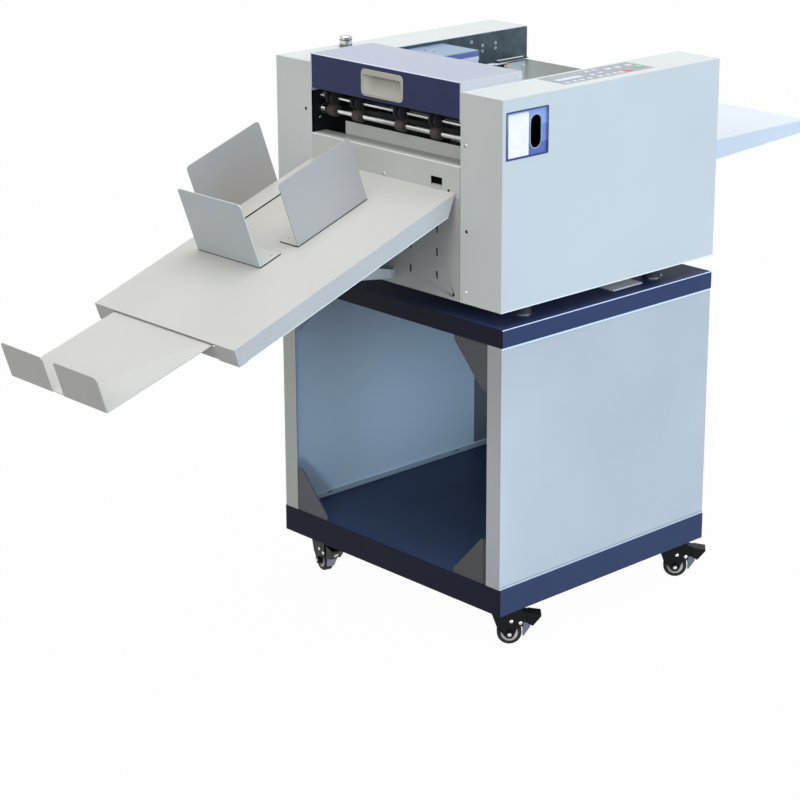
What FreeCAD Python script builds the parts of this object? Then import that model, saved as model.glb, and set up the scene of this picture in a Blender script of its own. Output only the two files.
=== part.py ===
"""Desktop paper creasing machine on its castor stand, in millimetres.

The machine feeds sheets from a lifting table at its +X end, creases them in the
middle and delivers them at its -X end onto a sloping tray.  -Y is the operator
side, +Z is up and the floor is Z = 0.  Every size is a cell of the sheet "Sizes";
each sub-part is an object whose sketches, features and place are bound to it.
"""
import FreeCAD, Part
import math
import os
import re
import Sketcher
from FreeCAD import Placement, Rotation, Vector

# ---------------------------------------------------------------------------
# Sizes
# ---------------------------------------------------------------------------
SIZES = {
    # body of the machine
    "body_length": 620, "body_width": 650, "body_height": 411,
    "operator_cover_width": 112, "rear_cover_width": 107,
    "skin": 2, "gap": 0.3, "fit": 0.05, "base_plate": 3,
    "frame_plate": 8, "frame_end_gap": 8, "frame_window_x": 150, "frame_window_z": 55,
    "frame_window_length": 165, "frame_window_height": 150, "frame_window_corner": 20,
    # stand
    "castor_height": 87, "base_height": 56, "panel_height": 500, "band_height": 37,
    "feet_height": 33, "stand_inset": 3, "stand_overhang": 2, "stand_sheet": 1.5,
    "stile_width": 39, "base_lip": 95, "band_lip": 24, "panel_flange": 23,
    "panel_flange_inset": 10, "gusset_sheet": 3, "gusset_reach": 132, "gusset_height": 96,
    "gusset_nose": 10, "gusset_tuck": 12, "gusset_slant": 14, "window_corner": 20,
    "deck_field_x": 12, "deck_field_y": 44, "deck_field_rise": 1,
    "feet_radius": 19, "feet_neck_radius": 12, "feet_neck": 8, "feet_inset_x": 120,
    "feet_inset_y": 62,
    # castors
    "castor_inset_x": 56, "castor_inset_y": 51, "castor_plate": 60,
    "castor_plate_sheet": 2.5, "raceway_radius": 19, "raceway_height": 3.5,
    "king_pin_radius": 5, "king_pin_rise": 3.5, "wheel_radius": 25, "wheel_width": 20,
    "castor_trail": 19, "axle_radius": 4, "axle_head_radius": 7, "axle_head": 5,
    "fork_sheet": 2.5, "fork_side_gap": 2, "fork_root": 17, "fork_corner": 6,
    "fork_shoulder": 12, "fork_waist_x": -6, "fork_waist_z": 38, "fork_foot": 9,
    "fork_foot_drop": 6, "fork_toe_half": 4, "fork_toe": 11, "fork_heel_x": 34,
    "fork_heel_z": 36, "fork_reach": 47, "fork_chin_z": 43, "fork_brow_z": 53,
    "fork_brow_x": 44,
    "hub_radius": 9, "web_width": 14, "rim_radius": 17.5, "tyre_bevel": 3,
    "pedal_pin_x": 24, "pedal_pin_z": 56, "pedal_pin_radius": 2.5, "pedal_width": 22,
    "pedal_tail_x": 14, "pedal_tail_z": 66, "pedal_sole_x": 19, "pedal_sole_z": 53,
    "pedal_crown_x": 38, "pedal_crown_z": 74, "tread_width": 30, "tread_start": 56,
    "tread_low": 47, "tread_high": 70, "toe_x": 66, "toe_z": 42, "pedal_reach": 83,
    "tip_z": 66, "tip_edge": 3,
    "near_castor_angle": -43, "feed_castor_angle": -48,
    "delivery_castor_angle": -105, "far_castor_angle": -30,
    # screws and holes in the delivery faces of the covers
    "cover_hole_y": 95.5, "cover_hole_z": 143, "cover_hole_radius": 3.5,
    "rear_hole_inset": 90, "rear_hole_z": 313,
    # delivery front panel and mouth
    "front_height": 267, "mouth_depth": 40, "baffle_height": 27, "baffle_sheet": 1.5,
    "baffle_short": 59, "hook_width": 32, "hook_slot_height": 18, "hook_slot_bottom": 219,
    "hook_inset": 50, "vent_width": 6, "vent_height": 16, "vent_pitch": 46, "vent_bottom": 34,
    "vent_outer_y": 158, "vent_inner_y": 83.4, "cable_hole_y": 131, "cable_hole_z": 11,
    "cable_hole_radius": 4,
    # delivery rollers and their drive
    "lower_shaft_x": 35, "lower_shaft_z": 312, "lower_shaft_radius": 6,
    "lower_roller_radius": 12.35, "roller_width": 20, "roller_proud": 0.35,
    "nip": 0.3, "upper_shaft_lean": 2, "upper_shaft_radius": 4, "disc_width": 6,
    "roller_one": 99, "roller_two": 199, "roller_three": 106, "roller_four": 31,
    "bearing_wall": 3, "bearing_flange": 2, "bearing_flange_rise": 2,
    "gear_module": 1, "lower_teeth": 25, "upper_teeth": 29, "pinion_teeth": 15,
    "gear_width": 8, "gear_offset": 2, "backlash": 0.1, "pinion_angle": -40,
    "motor_size": 42, "motor_corner": 4, "motor_length": 40, "motor_plate": 3,
    "motor_shaft_radius": 2.5,
    "motor_post_radius": 3, "motor_post_pitch": 34, "motor_clearance": 2,
    # crease unit and register deck
    "crease_x": 85, "die_width": 14, "die_height": 24, "groove_width": 2,
    "groove_depth": 1.5, "blade_width": 1.2, "blade_height": 8.5, "blade_lift": 3.5,
    "beam_width": 18, "beam_height": 15, "deck_sheet": 2, "deck_end_x": 388,
    "deck_front_x": 51,
    # feeder
    "suction_x": 375, "suction_length": 60, "suction_inset": 125.5, "suction_gap": 15,
    "suction_height": 18, "suction_lift": 3, "suction_beam_width": 16, "suction_beam_height": 12,
    "belt_width": 28, "belt_sheet": 2,
    "box_start_x": 205, "box_end_x": 365, "box_width": 109, "box_band": 19,
    "box_lid": 2, "box_height": 79, "box_step": 1,
    "table_height": 202, "table_start_x": 385, "table_end_x": 1071, "table_side_gap": 8,
    "table_root_depth": 62, "table_tip_depth": 26, "table_sheet": 2,
    "carriage_depth": 19, "carriage_inset": 23, "carriage_height": 92,
    "carriage_drop": 3, "rod_radius": 6, "rod_inset": 38,
    "window_bottom": 55, "window_top": 292, "window_margin": 5, "cross_wall_height": 338,
    "liner_sheet": 1.5, "liner_start_x": 172, "liner_height": 67,
    "ledge_start_x": 530, "ledge_end_x": 616, "ledge_width": 9,
    # controls
    "keypad_start_x": 195, "keypad_length": 257, "keypad_start_y": 26,
    "keypad_width": 77, "keypad_depth": 16, "keypad_flange": 5,
    "key_length": 20, "key_width": 13, "key_rise": 1, "key_depth": 3, "key_well": 4.2,
    "key_corner": 3, "start_key_x": 433, "start_key_y": 52, "stop_key_x": 391,
    "stop_key_y": 43,
    "knob_x": 159, "knob_inset": 34.5, "knob_radius": 13, "knob_height": 23.7,
    "knob_bevel": 1.5, "knob_stem_radius": 4, "knob_stem": 13,
    # instruction recess in the operator cover
    "recess_x": 9, "recess_z": 294, "recess_length": 114, "recess_height": 92,
    "recess_depth": 5, "recess_wall": 1.5, "recess_corner": 3, "obround_x": 77,
    "obround_z": 308, "obround_width": 29, "obround_height": 64,
    # hinged cover
    "cover_length": 165, "cover_side_gap": 3, "cover_front": 70, "cover_rise": 18,
    "cheek_sheet": 2.7, "cheek_drop": 58, "cover_web": 15, "rod_x": 158,
    "rod_drop": 9, "hinge_rod_radius": 3, "knuckle_radius": 5.5, "knuckle_width": 40,
    "knuckle_inset": 20,
    "handle_shift": 3.5, "handle_width": 120, "handle_drop": 10, "handle_height": 53.5,
    "handle_corner": 10, "handle_depth": 16, "bezel_width": 4, "bezel_rise": 1.5,
    # delivery tray, in its own sloping frame
    "tray_shift": 7.5, "tray_slope": 19.7, "tray_height": 214, "tray_length": 582, "tray_width": 420,
    "tray_sheet": 2, "tray_flange": 36, "tray_nose": 33, "tray_lip": 58,
    "hook_reach": 7, "hook_drop": 5, "hook_sheet": 2, "hook_lift": 0.3, "hook_root": 1.5,
    "arm_width": 76, "arm_sheet": 2, "arm_root_z": 11, "arm_root_height": 17,
    "arm_sweep": 7.7, "arm_rest": 303, "arm_reach": 345,
    "arm_flange": 6, "arm_bend_gap": 0.4,
    "guide_sheet": 2, "guide_height": 138, "guide_foot": 54, "guide_corner": 8,
    "near_guide": -45, "near_guide_start": 84, "near_guide_end": 272,
    "rear_guide": 209, "rear_guide_start": 98, "rear_guide_end": 291,
    "stop_plate": 358, "stop_start": -32, "stop_end": 157,
    "extension_start": 551, "extension_drop": 4.6, "extension_slope": 17.2,
    "extension_length": 240, "extension_tuck": 66, "extension_width": 294,
    "extension_sheet": 1.5, "extension_shift": 2, "tab_width": 130, "tab_height": 70,
    "rail_width": 14, "rail_gap": 5, "rail_start": 300,
}
# place of the model's origin, worked out from its box at the end
ORIGIN = {"origin_x": 0, "origin_y": 0}

doc = FreeCAD.newDocument("CreasingMachine")
sheet = doc.addObject("Spreadsheet::Sheet", "Sizes")
for row, (alias, number) in enumerate({**SIZES, **ORIGIN}.items(), start=1):
    sheet.set("A%d" % row, alias)
    sheet.set("B%d" % row, str(number))
    sheet.setAlias("B%d" % row, alias)
doc.recompute()

# ---------------------------------------------------------------------------
# Places that several sub-parts share, as expressions of the sizes
# ---------------------------------------------------------------------------
DECK = "(castor_height + base_height)"
PANEL_TOP = "(castor_height + base_height + panel_height)"
STAND_TOP = "(castor_height + base_height + panel_height + band_height)"
MACHINE_Z = "(castor_height + base_height + panel_height + band_height + feet_height)"
STAND_X0 = "stand_inset"
STAND_X1 = "(body_length - stand_inset)"
STAND_Y0 = "(-stand_overhang)"
STAND_Y1 = "(body_width + stand_overhang)"
WELL_Y0 = "operator_cover_width"
WELL_Y1 = "(body_width - rear_cover_width)"
WELL_MIDDLE = "((operator_cover_width + body_width - rear_cover_width) / 2)"
TRAY_MIDDLE = "(%s + tray_shift)" % WELL_MIDDLE
FRAME_TOP = "(body_height - skin)"
CENTRES = "(gear_module * (lower_teeth + upper_teeth) / 2)"
UPPER_X = "(lower_shaft_x - upper_shaft_lean)"
UPPER_Z = "(lower_shaft_z + sqrt(%s^2 - upper_shaft_lean^2))" % CENTRES
UPPER_RADIUS = "(%s - lower_roller_radius - nip)" % CENTRES
PAPER_Z = "(lower_shaft_z + lower_roller_radius - roller_proud)"
PINION_X = "(lower_shaft_x + gear_module * (lower_teeth + pinion_teeth) / 2 * cos(pinion_angle))"
PINION_Z = "(lower_shaft_z + gear_module * (lower_teeth + pinion_teeth) / 2 * sin(pinion_angle))"
SHAFT_END_Y = "(%s + frame_plate + gear_offset + gear_width + 1)" % WELL_Y1
GEAR_Y = "(%s + frame_plate + gear_offset)" % WELL_Y1
COVER_TOP = "(body_height + cover_rise)"
HINGE_Z = "(body_height + cover_rise - rod_drop)"
FORK_INNER = "(wheel_width / 2 + fork_side_gap)"
FORK_TOP = "(castor_height - castor_plate_sheet - raceway_height - gap)"
TRAY_Y0 = "(%s - tray_width / 2)" % TRAY_MIDDLE
EXTENSION_Y0 = "(%s + extension_shift - extension_width / 2)" % TRAY_MIDDLE
EXTENSION_Y1 = "(%s + extension_shift + extension_width / 2)" % TRAY_MIDDLE
HOOKS_Y = ["(%s + hook_inset)" % WELL_Y0, "(%s - hook_inset - hook_width)" % WELL_Y1]
ROLLERS = ["(%s + %s)" % (WELL_Y0, place) for place in ("roller_one", "roller_two")] + [
    "(%s - %s)" % (WELL_Y1, place) for place in ("roller_three", "roller_four")]
BOX_Y0 = "(%s - liner_sheet - box_width)" % WELL_Y1
SUCTION_Y0 = "(%s + suction_inset)" % WELL_Y0
SUCTION_Y1 = "(%s - suction_gap)" % BOX_Y0
KNOB_Y = "(body_width - knob_inset)"

# ---------------------------------------------------------------------------
# Tools that draw with the sizes
# ---------------------------------------------------------------------------
WORD = re.compile(r"[a-z][a-z_]+")
sub_parts = []


def bound(text):
    """Give an expression in which every size name points at the sheet."""
    def point(word):
        name = word.group()
        return "Sizes." + name if name in SIZES or name in ORIGIN else name
    return WORD.sub(point, str(text))


def value(text):
    """Give the present number of an expression of size names."""
    answer = sheet.evalExpression(bound(text))
    return float(getattr(answer, "Value", answer))


def put(thing, x="0", y="0", z="0", axis=None, angle="0"):
    """Bind a sub-part's place: x, y, z from the machine's corner and one turn."""
    if axis is not None:
        thing.Placement = Placement(Vector(0, 0, 0), Rotation(axis, 1))
        thing.setExpression("Placement.Rotation.Angle", bound(angle))
    thing.setExpression("Placement.Base.x", bound("%s - origin_x" % x))
    thing.setExpression("Placement.Base.y", bound("%s - origin_y" % y))
    thing.setExpression("Placement.Base.z", bound(z))


def new_body(label, x="0", y="0", z="0", axis=None, angle="0"):
    """Start a PartDesign body and bind its place."""
    body = doc.addObject("PartDesign::Body", label)
    body.Label = label
    put(body, x, y, z, axis, angle)
    sub_parts.append(body)
    return body


def stand_body(label):
    """Start a body of the stand, measured from the floor."""
    return new_body(label)


def machine_body(label):
    """Start a body of the machine, measured from the underside of its base."""
    return new_body(label, z=MACHINE_Z)


def tray_body(label):
    """Start a body in the tray's frame: X uphill, Z square to its top face."""
    return new_body(label, z="%s + tray_height" % MACHINE_Z,
                    axis=Vector(0, 1, 0), angle="-tray_slope")


def rect(u_low, v_low, u_high, v_high, radius=None):
    """Corners of a rectangle, each with the same corner radius if one is given."""
    corners = [(u_low, v_low), (u_high, v_low), (u_high, v_high), (u_low, v_high)]
    return [corner if radius is None else corner + (radius,) for corner in corners]


def circle(u, v, radius):
    """A circle's centre and radius."""
    return ("circle", u, v, radius)


def mirrored(points):
    """The same outline on the rear side of the machine: Y becomes width - Y."""
    return [("(body_width - (%s))" % point[0],) + tuple(point[1:]) for point in points]


def bind(sketch, kind, curve, end, text):
    """Bind one coordinate of a curve's point to an expression."""
    number = sketch.addConstraint(
        Sketcher.Constraint(kind, -1, 1, curve, end, value(text)))
    sketch.setExpression("Constraints[%d]" % number, bound(text))


def draw_circle(sketch, u, v, radius):
    """Draw a circle whose centre and radius are bound."""
    middle = Vector(value(u), value(v), 0)
    curve = sketch.addGeometry(Part.Circle(middle, Vector(0, 0, 1), value(radius)), False)
    bind(sketch, "DistanceX", curve, 3, u)
    bind(sketch, "DistanceY", curve, 3, v)
    number = sketch.addConstraint(Sketcher.Constraint("Radius", curve, value(radius)))
    sketch.setExpression("Constraints[%d]" % number, bound(radius))


def corner_nodes(points):
    """Turn outline points into nodes; a rounded square corner gives two."""
    nodes = []
    for index, point in enumerate(points):
        here = Vector(value(point[0]), value(point[1]), 0)
        if len(point) == 2:
            nodes.append((here, point[0], point[1], None))
            continue
        radius = point[2]
        for side in (-1, 1):
            other = points[(index + side) % len(points)]
            way = Vector(value(other[0]), value(other[1]), 0) - here
            u_sign = 0 if abs(way.x) < abs(way.y) else math.copysign(1, way.x)
            v_sign = 0 if u_sign else math.copysign(1, way.y)
            spot = here + Vector(u_sign, v_sign, 0) * value(radius)
            nodes.append((spot, "%s + %d * (%s)" % (point[0], u_sign, radius),
                          "%s + %d * (%s)" % (point[1], v_sign, radius),
                          radius if side == -1 else None))
    return nodes


def draw_outline(sketch, points):
    """Draw a closed outline whose every point and corner radius is bound."""
    nodes = corner_nodes(points)
    count = len(nodes)
    ends = []
    for index in range(count):
        spot, _, _, radius = nodes[index]
        target = nodes[(index + 1) % count][0]
        if radius is None:
            curve = sketch.addGeometry(Part.LineSegment(spot, target), False)
            ends.append((curve, 1, 2))
            continue
        before = nodes[index - 1][0]
        along = (spot - before).normalize()
        turn = along.cross(target - spot).z
        inward = Vector(-along.y, along.x, 0) * math.copysign(value(radius), turn)
        middle = spot + inward
        first, last = (spot, target) if turn > 0 else (target, spot)
        start = math.atan2(first.y - middle.y, first.x - middle.x)
        stop = math.atan2(last.y - middle.y, last.x - middle.x)
        arc = Part.ArcOfCircle(
            Part.Circle(middle, Vector(0, 0, 1), value(radius)), start, stop)
        curve = sketch.addGeometry(arc, False)
        ends.append((curve, 1, 2) if turn > 0 else (curve, 2, 1))
        number = sketch.addConstraint(Sketcher.Constraint("Radius", curve, value(radius)))
        sketch.setExpression("Constraints[%d]" % number, bound(radius))
    for index in range(count):
        curve, first, last = ends[index]
        after, after_first, _ = ends[(index + 1) % count]
        sketch.addConstraint(Sketcher.Constraint("Coincident", curve, last, after, after_first))
        bind(sketch, "DistanceX", curve, first, nodes[index][1])
        bind(sketch, "DistanceY", curve, first, nodes[index][2])


def new_sketch(body, plane, offset, shapes):
    """Put a sketch on one of the body's own planes and draw shapes in it."""
    sketch = body.newObject("Sketcher::SketchObject", body.Name + "_sketch")
    support = next(item for item in body.Origin.OriginFeatures if item.Role == plane + "_Plane")
    sketch.AttachmentSupport = (support, [""])
    sketch.MapMode = "FlatFace"
    sketch.setExpression("AttachmentOffset.Base.z", bound(offset))
    for shape in shapes:
        if shape[0] == "circle":
            draw_circle(sketch, *shape[1:])
        else:
            draw_outline(sketch, shape)
    return sketch


def add(body, plane, start, depth, *shapes):
    """Pad shapes from start over depth, along +Z, +Y or +X of the body."""
    offset = "-(%s + %s)" % (start, depth) if plane == "XZ" else start
    sketch = new_sketch(body, plane, offset, shapes)
    feature = body.newObject("PartDesign::Pad", body.Name + "_pad")
    feature.Profile = sketch
    feature.setExpression("Length", bound(depth))
    return feature


def cut(body, plane, start, depth, *shapes):
    """Pocket shapes from start over depth, along +Z, +Y or +X of the body."""
    offset = "-(%s)" % start if plane == "XZ" else "%s + %s" % (start, depth)
    sketch = new_sketch(body, plane, offset, shapes)
    feature = body.newObject("PartDesign::Pocket", body.Name + "_pocket")
    feature.Profile = sketch
    feature.setExpression("Length", bound(depth))
    return feature


def turn_solid(body, plane, axis, *shapes):
    """Revolve shapes once round an axis of their sketch."""
    sketch = new_sketch(body, plane, "0", shapes)
    feature = body.newObject("PartDesign::Revolution", body.Name + "_revolve")
    feature.Profile = sketch
    feature.ReferenceAxis = (sketch, [axis])
    feature.Angle = 360
    return feature


def repeat(body, feature, axis, length, copies):
    """Repeat a feature in a row along an axis of its sketch."""
    pattern = body.newObject("PartDesign::LinearPattern", body.Name + "_row")
    pattern.Originals = [feature]
    pattern.Direction = (feature.Profile[0], [axis])
    pattern.setExpression("Length", bound(length))
    pattern.Occurrences = copies
    body.Tip = pattern
    return pattern


# ---------------------------------------------------------------------------
# Stand
# ---------------------------------------------------------------------------
def stand_base_pan():
    """Folded base: deck with a raised field, skirts, and a lip below for the castors."""
    body = stand_body("stand_base_pan")
    add(body, "XY", "castor_height", "base_height",
        rect(STAND_X0, STAND_Y0, STAND_X1, STAND_Y1))
    add(body, "XY", DECK, "deck_field_rise",
        rect("deck_field_x", "deck_field_y", "body_length - deck_field_x",
             "body_width - deck_field_y"))
    wall = "stand_sheet"
    cut(body, "XY", "castor_height + 2 * stand_sheet", "base_height - 3 * stand_sheet",
        rect("%s + %s" % (STAND_X0, wall), "%s + %s" % (STAND_Y0, wall),
             "%s - %s" % (STAND_X1, wall), "%s - %s" % (STAND_Y1, wall)))
    cut(body, "XY", "castor_height", "2 * stand_sheet",
        rect("%s + base_lip" % STAND_X0, "%s + base_lip" % STAND_Y0,
             "%s - base_lip" % STAND_X1, "%s - base_lip" % STAND_Y1, "window_corner"))


def side_panel_outline():
    """Plan of a side panel: outer skin with a stile folded in at each end."""
    inner_low = "%s + stand_sheet" % STAND_X0
    inner_high = "%s - stand_sheet" % STAND_X1
    return [("0", STAND_X0), ("0", STAND_X1), ("stile_width", STAND_X1),
            ("stile_width", inner_high), ("stand_sheet", inner_high),
            ("stand_sheet", inner_low), ("stile_width", inner_low), ("stile_width", STAND_X0)]


def swapped(points):
    """The same outline with its two coordinates exchanged."""
    return [(point[1], point[0]) + tuple(point[2:]) for point in points]


def stand_operator_panel():
    """Operator side of the stand."""
    body = stand_body("stand_operator_panel")
    add(body, "XY", DECK, "panel_height", swapped(side_panel_outline()))


def stand_rear_panel():
    """Rear side of the stand, with a flange screwed down on the base's deck."""
    body = stand_body("stand_rear_panel")
    add(body, "XY", DECK, "panel_height", swapped(mirrored(side_panel_outline())))
    add(body, "XY", DECK, "stand_sheet",
        rect("%s + panel_flange_inset" % STAND_X0, "body_width - panel_flange",
             "%s - panel_flange_inset" % STAND_X1, "body_width - stand_sheet"))


def stand_feed_end_panel():
    """Closed feed end of the stand, behind the stiles of the side panels."""
    body = stand_body("stand_feed_end_panel")
    add(body, "YZ", "%s - 2 * stand_sheet" % STAND_X1, "stand_sheet",
        rect("stand_sheet", DECK, "body_width - stand_sheet", PANEL_TOP))


def stand_top_frame():
    """Folded band on the panels: a deck on top and a lip below."""
    body = stand_body("stand_top_frame")
    add(body, "XY", PANEL_TOP, "band_height",
        rect(STAND_X0, STAND_Y0, STAND_X1, STAND_Y1))
    inner = rect("%s + stand_sheet" % STAND_X0, "%s + stand_sheet" % STAND_Y0,
                 "%s - stand_sheet" % STAND_X1, "%s - stand_sheet" % STAND_Y1)
    cut(body, "XY", "%s + stand_sheet" % PANEL_TOP, "band_height - 2 * stand_sheet", inner)
    cut(body, "XY", PANEL_TOP, "stand_sheet",
        rect("%s + band_lip" % STAND_X0, "%s + stile_width" % STAND_Y0,
             "%s - band_lip" % STAND_X1, "%s - stile_width" % STAND_Y1))


def stand_gussets():
    """Four corner plates behind the stiles of the open delivery end."""
    body = stand_body("stand_gussets")
    start = "%s + stand_sheet" % STAND_X0
    upper = [("gusset_tuck", PANEL_TOP), ("gusset_reach", PANEL_TOP),
             ("gusset_reach", "%s - gusset_nose" % PANEL_TOP),
             ("stile_width + gusset_slant", "%s - gusset_height" % PANEL_TOP),
             ("gusset_tuck", "%s - gusset_height" % PANEL_TOP)]
    lower = [("gusset_tuck", DECK), ("gusset_reach", DECK),
             ("gusset_reach", "%s + gusset_nose" % DECK),
             ("stile_width + gusset_slant", "%s + gusset_height" % DECK),
             ("gusset_tuck", "%s + gusset_height" % DECK)]
    for outline in (upper, mirrored(upper), lower, mirrored(lower)):
        add(body, "YZ", start, "gusset_sheet", outline)


# ---------------------------------------------------------------------------
# Castors
# ---------------------------------------------------------------------------
CASTORS = [
    ("1", "castor_inset_x", "castor_inset_y", "near_castor_angle"),
    ("2", "(body_length - castor_inset_x)", "castor_inset_y", "feed_castor_angle"),
    ("3", "castor_inset_x", "(body_width - castor_inset_y)", "delivery_castor_angle"),
    ("4", "(body_length - castor_inset_x)", "(body_width - castor_inset_y)", "far_castor_angle"),
]


def castor_plates():
    """Four top plates with their raceways, bolted under the base's lip."""
    body = stand_body("castor_plates")
    plate_z = "castor_height - castor_plate_sheet"
    squares = [rect("%s - castor_plate / 2" % x, "%s - castor_plate / 2" % y,
                    "%s + castor_plate / 2" % x, "%s + castor_plate / 2" % y)
               for _, x, y, _ in CASTORS]
    add(body, "XY", plate_z, "castor_plate_sheet", *squares)
    add(body, "XY", "%s - raceway_height" % plate_z, "raceway_height",
        *[circle(x, y, "raceway_radius") for _, x, y, _ in CASTORS])
    cut(body, "XY", "%s - raceway_height" % plate_z, "raceway_height",
        *[circle(x, y, "king_pin_radius + fit") for _, x, y, _ in CASTORS])


def castor_fork(number, x, y, angle):
    """Fork of one castor with its king pin, wheel bolt and pedal rivet."""
    body = new_body("castor_fork_%s" % number, x, y, "0", Vector(0, 0, 1), angle)
    corner = "fork_root - fork_corner"
    top = [("-fork_root", "-(%s)" % corner), ("-(%s)" % corner, "-fork_root"),
           (corner, "-fork_root"), ("fork_root", "-(%s)" % corner), ("fork_root", corner),
           (corner, "fork_root"), ("-(%s)" % corner, "fork_root"), ("-fork_root", corner)]
    add(body, "XY", "%s - fork_sheet" % FORK_TOP, "fork_sheet", top)
    add(body, "XY", FORK_TOP, "king_pin_rise", circle("0", "0", "king_pin_radius"))
    under = "%s - fork_sheet" % FORK_TOP
    foot = "wheel_radius - fork_foot_drop"
    toe = "wheel_radius - fork_toe"
    leg = [("-fork_root", under), ("-fork_root", "%s - fork_shoulder" % FORK_TOP),
           ("fork_waist_x", "fork_waist_z"), ("castor_trail - fork_foot", foot),
           ("castor_trail - fork_toe_half", toe), ("castor_trail + fork_toe_half", toe),
           ("castor_trail + fork_foot", foot), ("fork_heel_x", "fork_heel_z"),
           ("fork_reach", "fork_chin_z"), ("fork_reach", "fork_brow_z"),
           ("fork_brow_x", under)]
    for start in (FORK_INNER, "-(%s + fork_sheet)" % FORK_INNER):
        add(body, "XZ", start, "fork_sheet", leg)
    add(body, "XZ", "-%s" % FORK_INNER, "2 * %s" % FORK_INNER,
        circle("castor_trail", "wheel_radius", "axle_radius"),
        circle("pedal_pin_x", "pedal_pin_z", "pedal_pin_radius"))
    head = circle("castor_trail", "wheel_radius", "axle_head_radius")
    for start in ("%s + fork_sheet" % FORK_INNER,
                  "-(%s + fork_sheet + axle_head)" % FORK_INNER):
        add(body, "XZ", start, "axle_head", head)


def castor_wheel(number, x, y, angle):
    """Wheel of one castor: hub, web, rim and a bevelled tyre in one turning."""
    body = new_body("castor_wheel_%s" % number,
                    "%s + castor_trail * cos(%s)" % (x, angle),
                    "%s + castor_trail * sin(%s)" % (y, angle),
                    "wheel_radius", Vector(0, 0, 1), angle)
    hub = "(wheel_width / 2 + fork_side_gap - gap)"
    half = "(wheel_width / 2)"
    web = "web_width / 2"
    profile = [("-%s" % hub, "axle_radius + fit"), (hub, "axle_radius + fit"),
               (hub, "hub_radius"), (web, "hub_radius"), (web, "rim_radius"),
               (half, "rim_radius"), (half, "wheel_radius - tyre_bevel"),
               ("%s - tyre_bevel" % half, "wheel_radius"),
               ("tyre_bevel - %s" % half, "wheel_radius"),
               ("-%s" % half, "wheel_radius - tyre_bevel"), ("-%s" % half, "rim_radius"),
               ("-%s" % web, "rim_radius"), ("-%s" % web, "hub_radius"),
               ("-%s" % hub, "hub_radius")]
    turn_solid(body, "YZ", "H_Axis", profile)


def castor_pedal(number, x, y, angle):
    """Brake pedal of one castor, turning on the fork's rivet."""
    body = new_body("castor_pedal_%s" % number, x, y, "0", Vector(0, 0, 1), angle)
    tread = [("tread_start", "tread_low"), ("toe_x", "toe_z"),
             ("pedal_reach", "tip_z - tip_edge"), ("pedal_reach", "tip_z"),
             ("tread_start", "tread_high")]
    side = [("pedal_tail_x", "pedal_tail_z"), ("pedal_sole_x", "pedal_sole_z"),
            ] + tread + [("pedal_crown_x", "pedal_crown_z")]
    add(body, "XZ", "-pedal_width / 2", "pedal_width", side,
        circle("pedal_pin_x", "pedal_pin_z", "pedal_pin_radius + fit"))
    add(body, "XZ", "-tread_width / 2", "tread_width", tread)


# ---------------------------------------------------------------------------
# Shell of the machine
# ---------------------------------------------------------------------------
def machine_feet():
    """Four rubber feet between the stand's deck and the machine's base."""
    body = stand_body("machine_feet")
    spots = [(x, y) for x in ("feet_inset_x", "body_length - feet_inset_x")
             for y in ("feet_inset_y", "body_width - feet_inset_y")]
    add(body, "XY", STAND_TOP, "feet_height - feet_neck",
        *[circle(x, y, "feet_radius") for x, y in spots])
    add(body, "XY", "%s - feet_neck" % MACHINE_Z, "feet_neck",
        *[circle(x, y, "feet_neck_radius") for x, y in spots])


def machine_base_plate():
    """Steel plate that carries the side frames."""
    body = machine_body("machine_base_plate")
    add(body, "XY", "0", "base_plate",
        rect("skin", "skin", "body_length - skin", "body_width - skin"))


def cover_shell(label, y_low, y_high, cavity_low, cavity_high):
    """Side cover: outer skin, top and two ends, open to the well and below."""
    body = machine_body(label)
    add(body, "XY", "0", "body_height", rect("0", y_low, "body_length", y_high))
    cut(body, "XY", "0", FRAME_TOP,
        rect("skin", cavity_low, "body_length - skin", cavity_high))
    return body


def operator_side_cover():
    """Cover on the operator side, cut out for the keypad and the recess."""
    body = cover_shell("operator_side_cover", "0", WELL_Y0, "skin", WELL_Y0)
    cut(body, "XY", FRAME_TOP, "skin",
        rect("keypad_start_x", "keypad_start_y", "keypad_start_x + keypad_length",
             "keypad_start_y + keypad_width"))
    cut(body, "XZ", "0", "skin",
        rect("recess_x", "recess_z", "recess_x + recess_length", "recess_z + recess_height"))
    cut(body, "YZ", "0", "skin", circle("cover_hole_y", "cover_hole_z", "cover_hole_radius"))


def rear_side_cover():
    """Cover on the rear side, bored for the knob's stem."""
    body = cover_shell("rear_side_cover", WELL_Y1, "body_width", WELL_Y1, "body_width - skin")
    cut(body, "XY", FRAME_TOP, "skin", circle("knob_x", KNOB_Y, "knob_stem_radius + fit"))
    cut(body, "YZ", "0", "skin",
        circle("body_width - rear_hole_inset", "rear_hole_z", "cover_hole_radius"))


def cover_liner_plates():
    """Plated liners on both walls of the well, the rear one with a ledge."""
    body = machine_body("cover_liner_plates")
    low = "%s - liner_height" % FRAME_TOP
    side = rect("liner_start_x", low, "body_length", FRAME_TOP)
    add(body, "XZ", WELL_Y0, "liner_sheet", side)
    add(body, "XZ", "%s - liner_sheet" % WELL_Y1, "liner_sheet", side)
    add(body, "XY", low, "liner_sheet",
        rect("ledge_start_x", "%s - liner_sheet - ledge_width" % WELL_Y1,
             "ledge_end_x", "%s - liner_sheet" % WELL_Y1))


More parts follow.
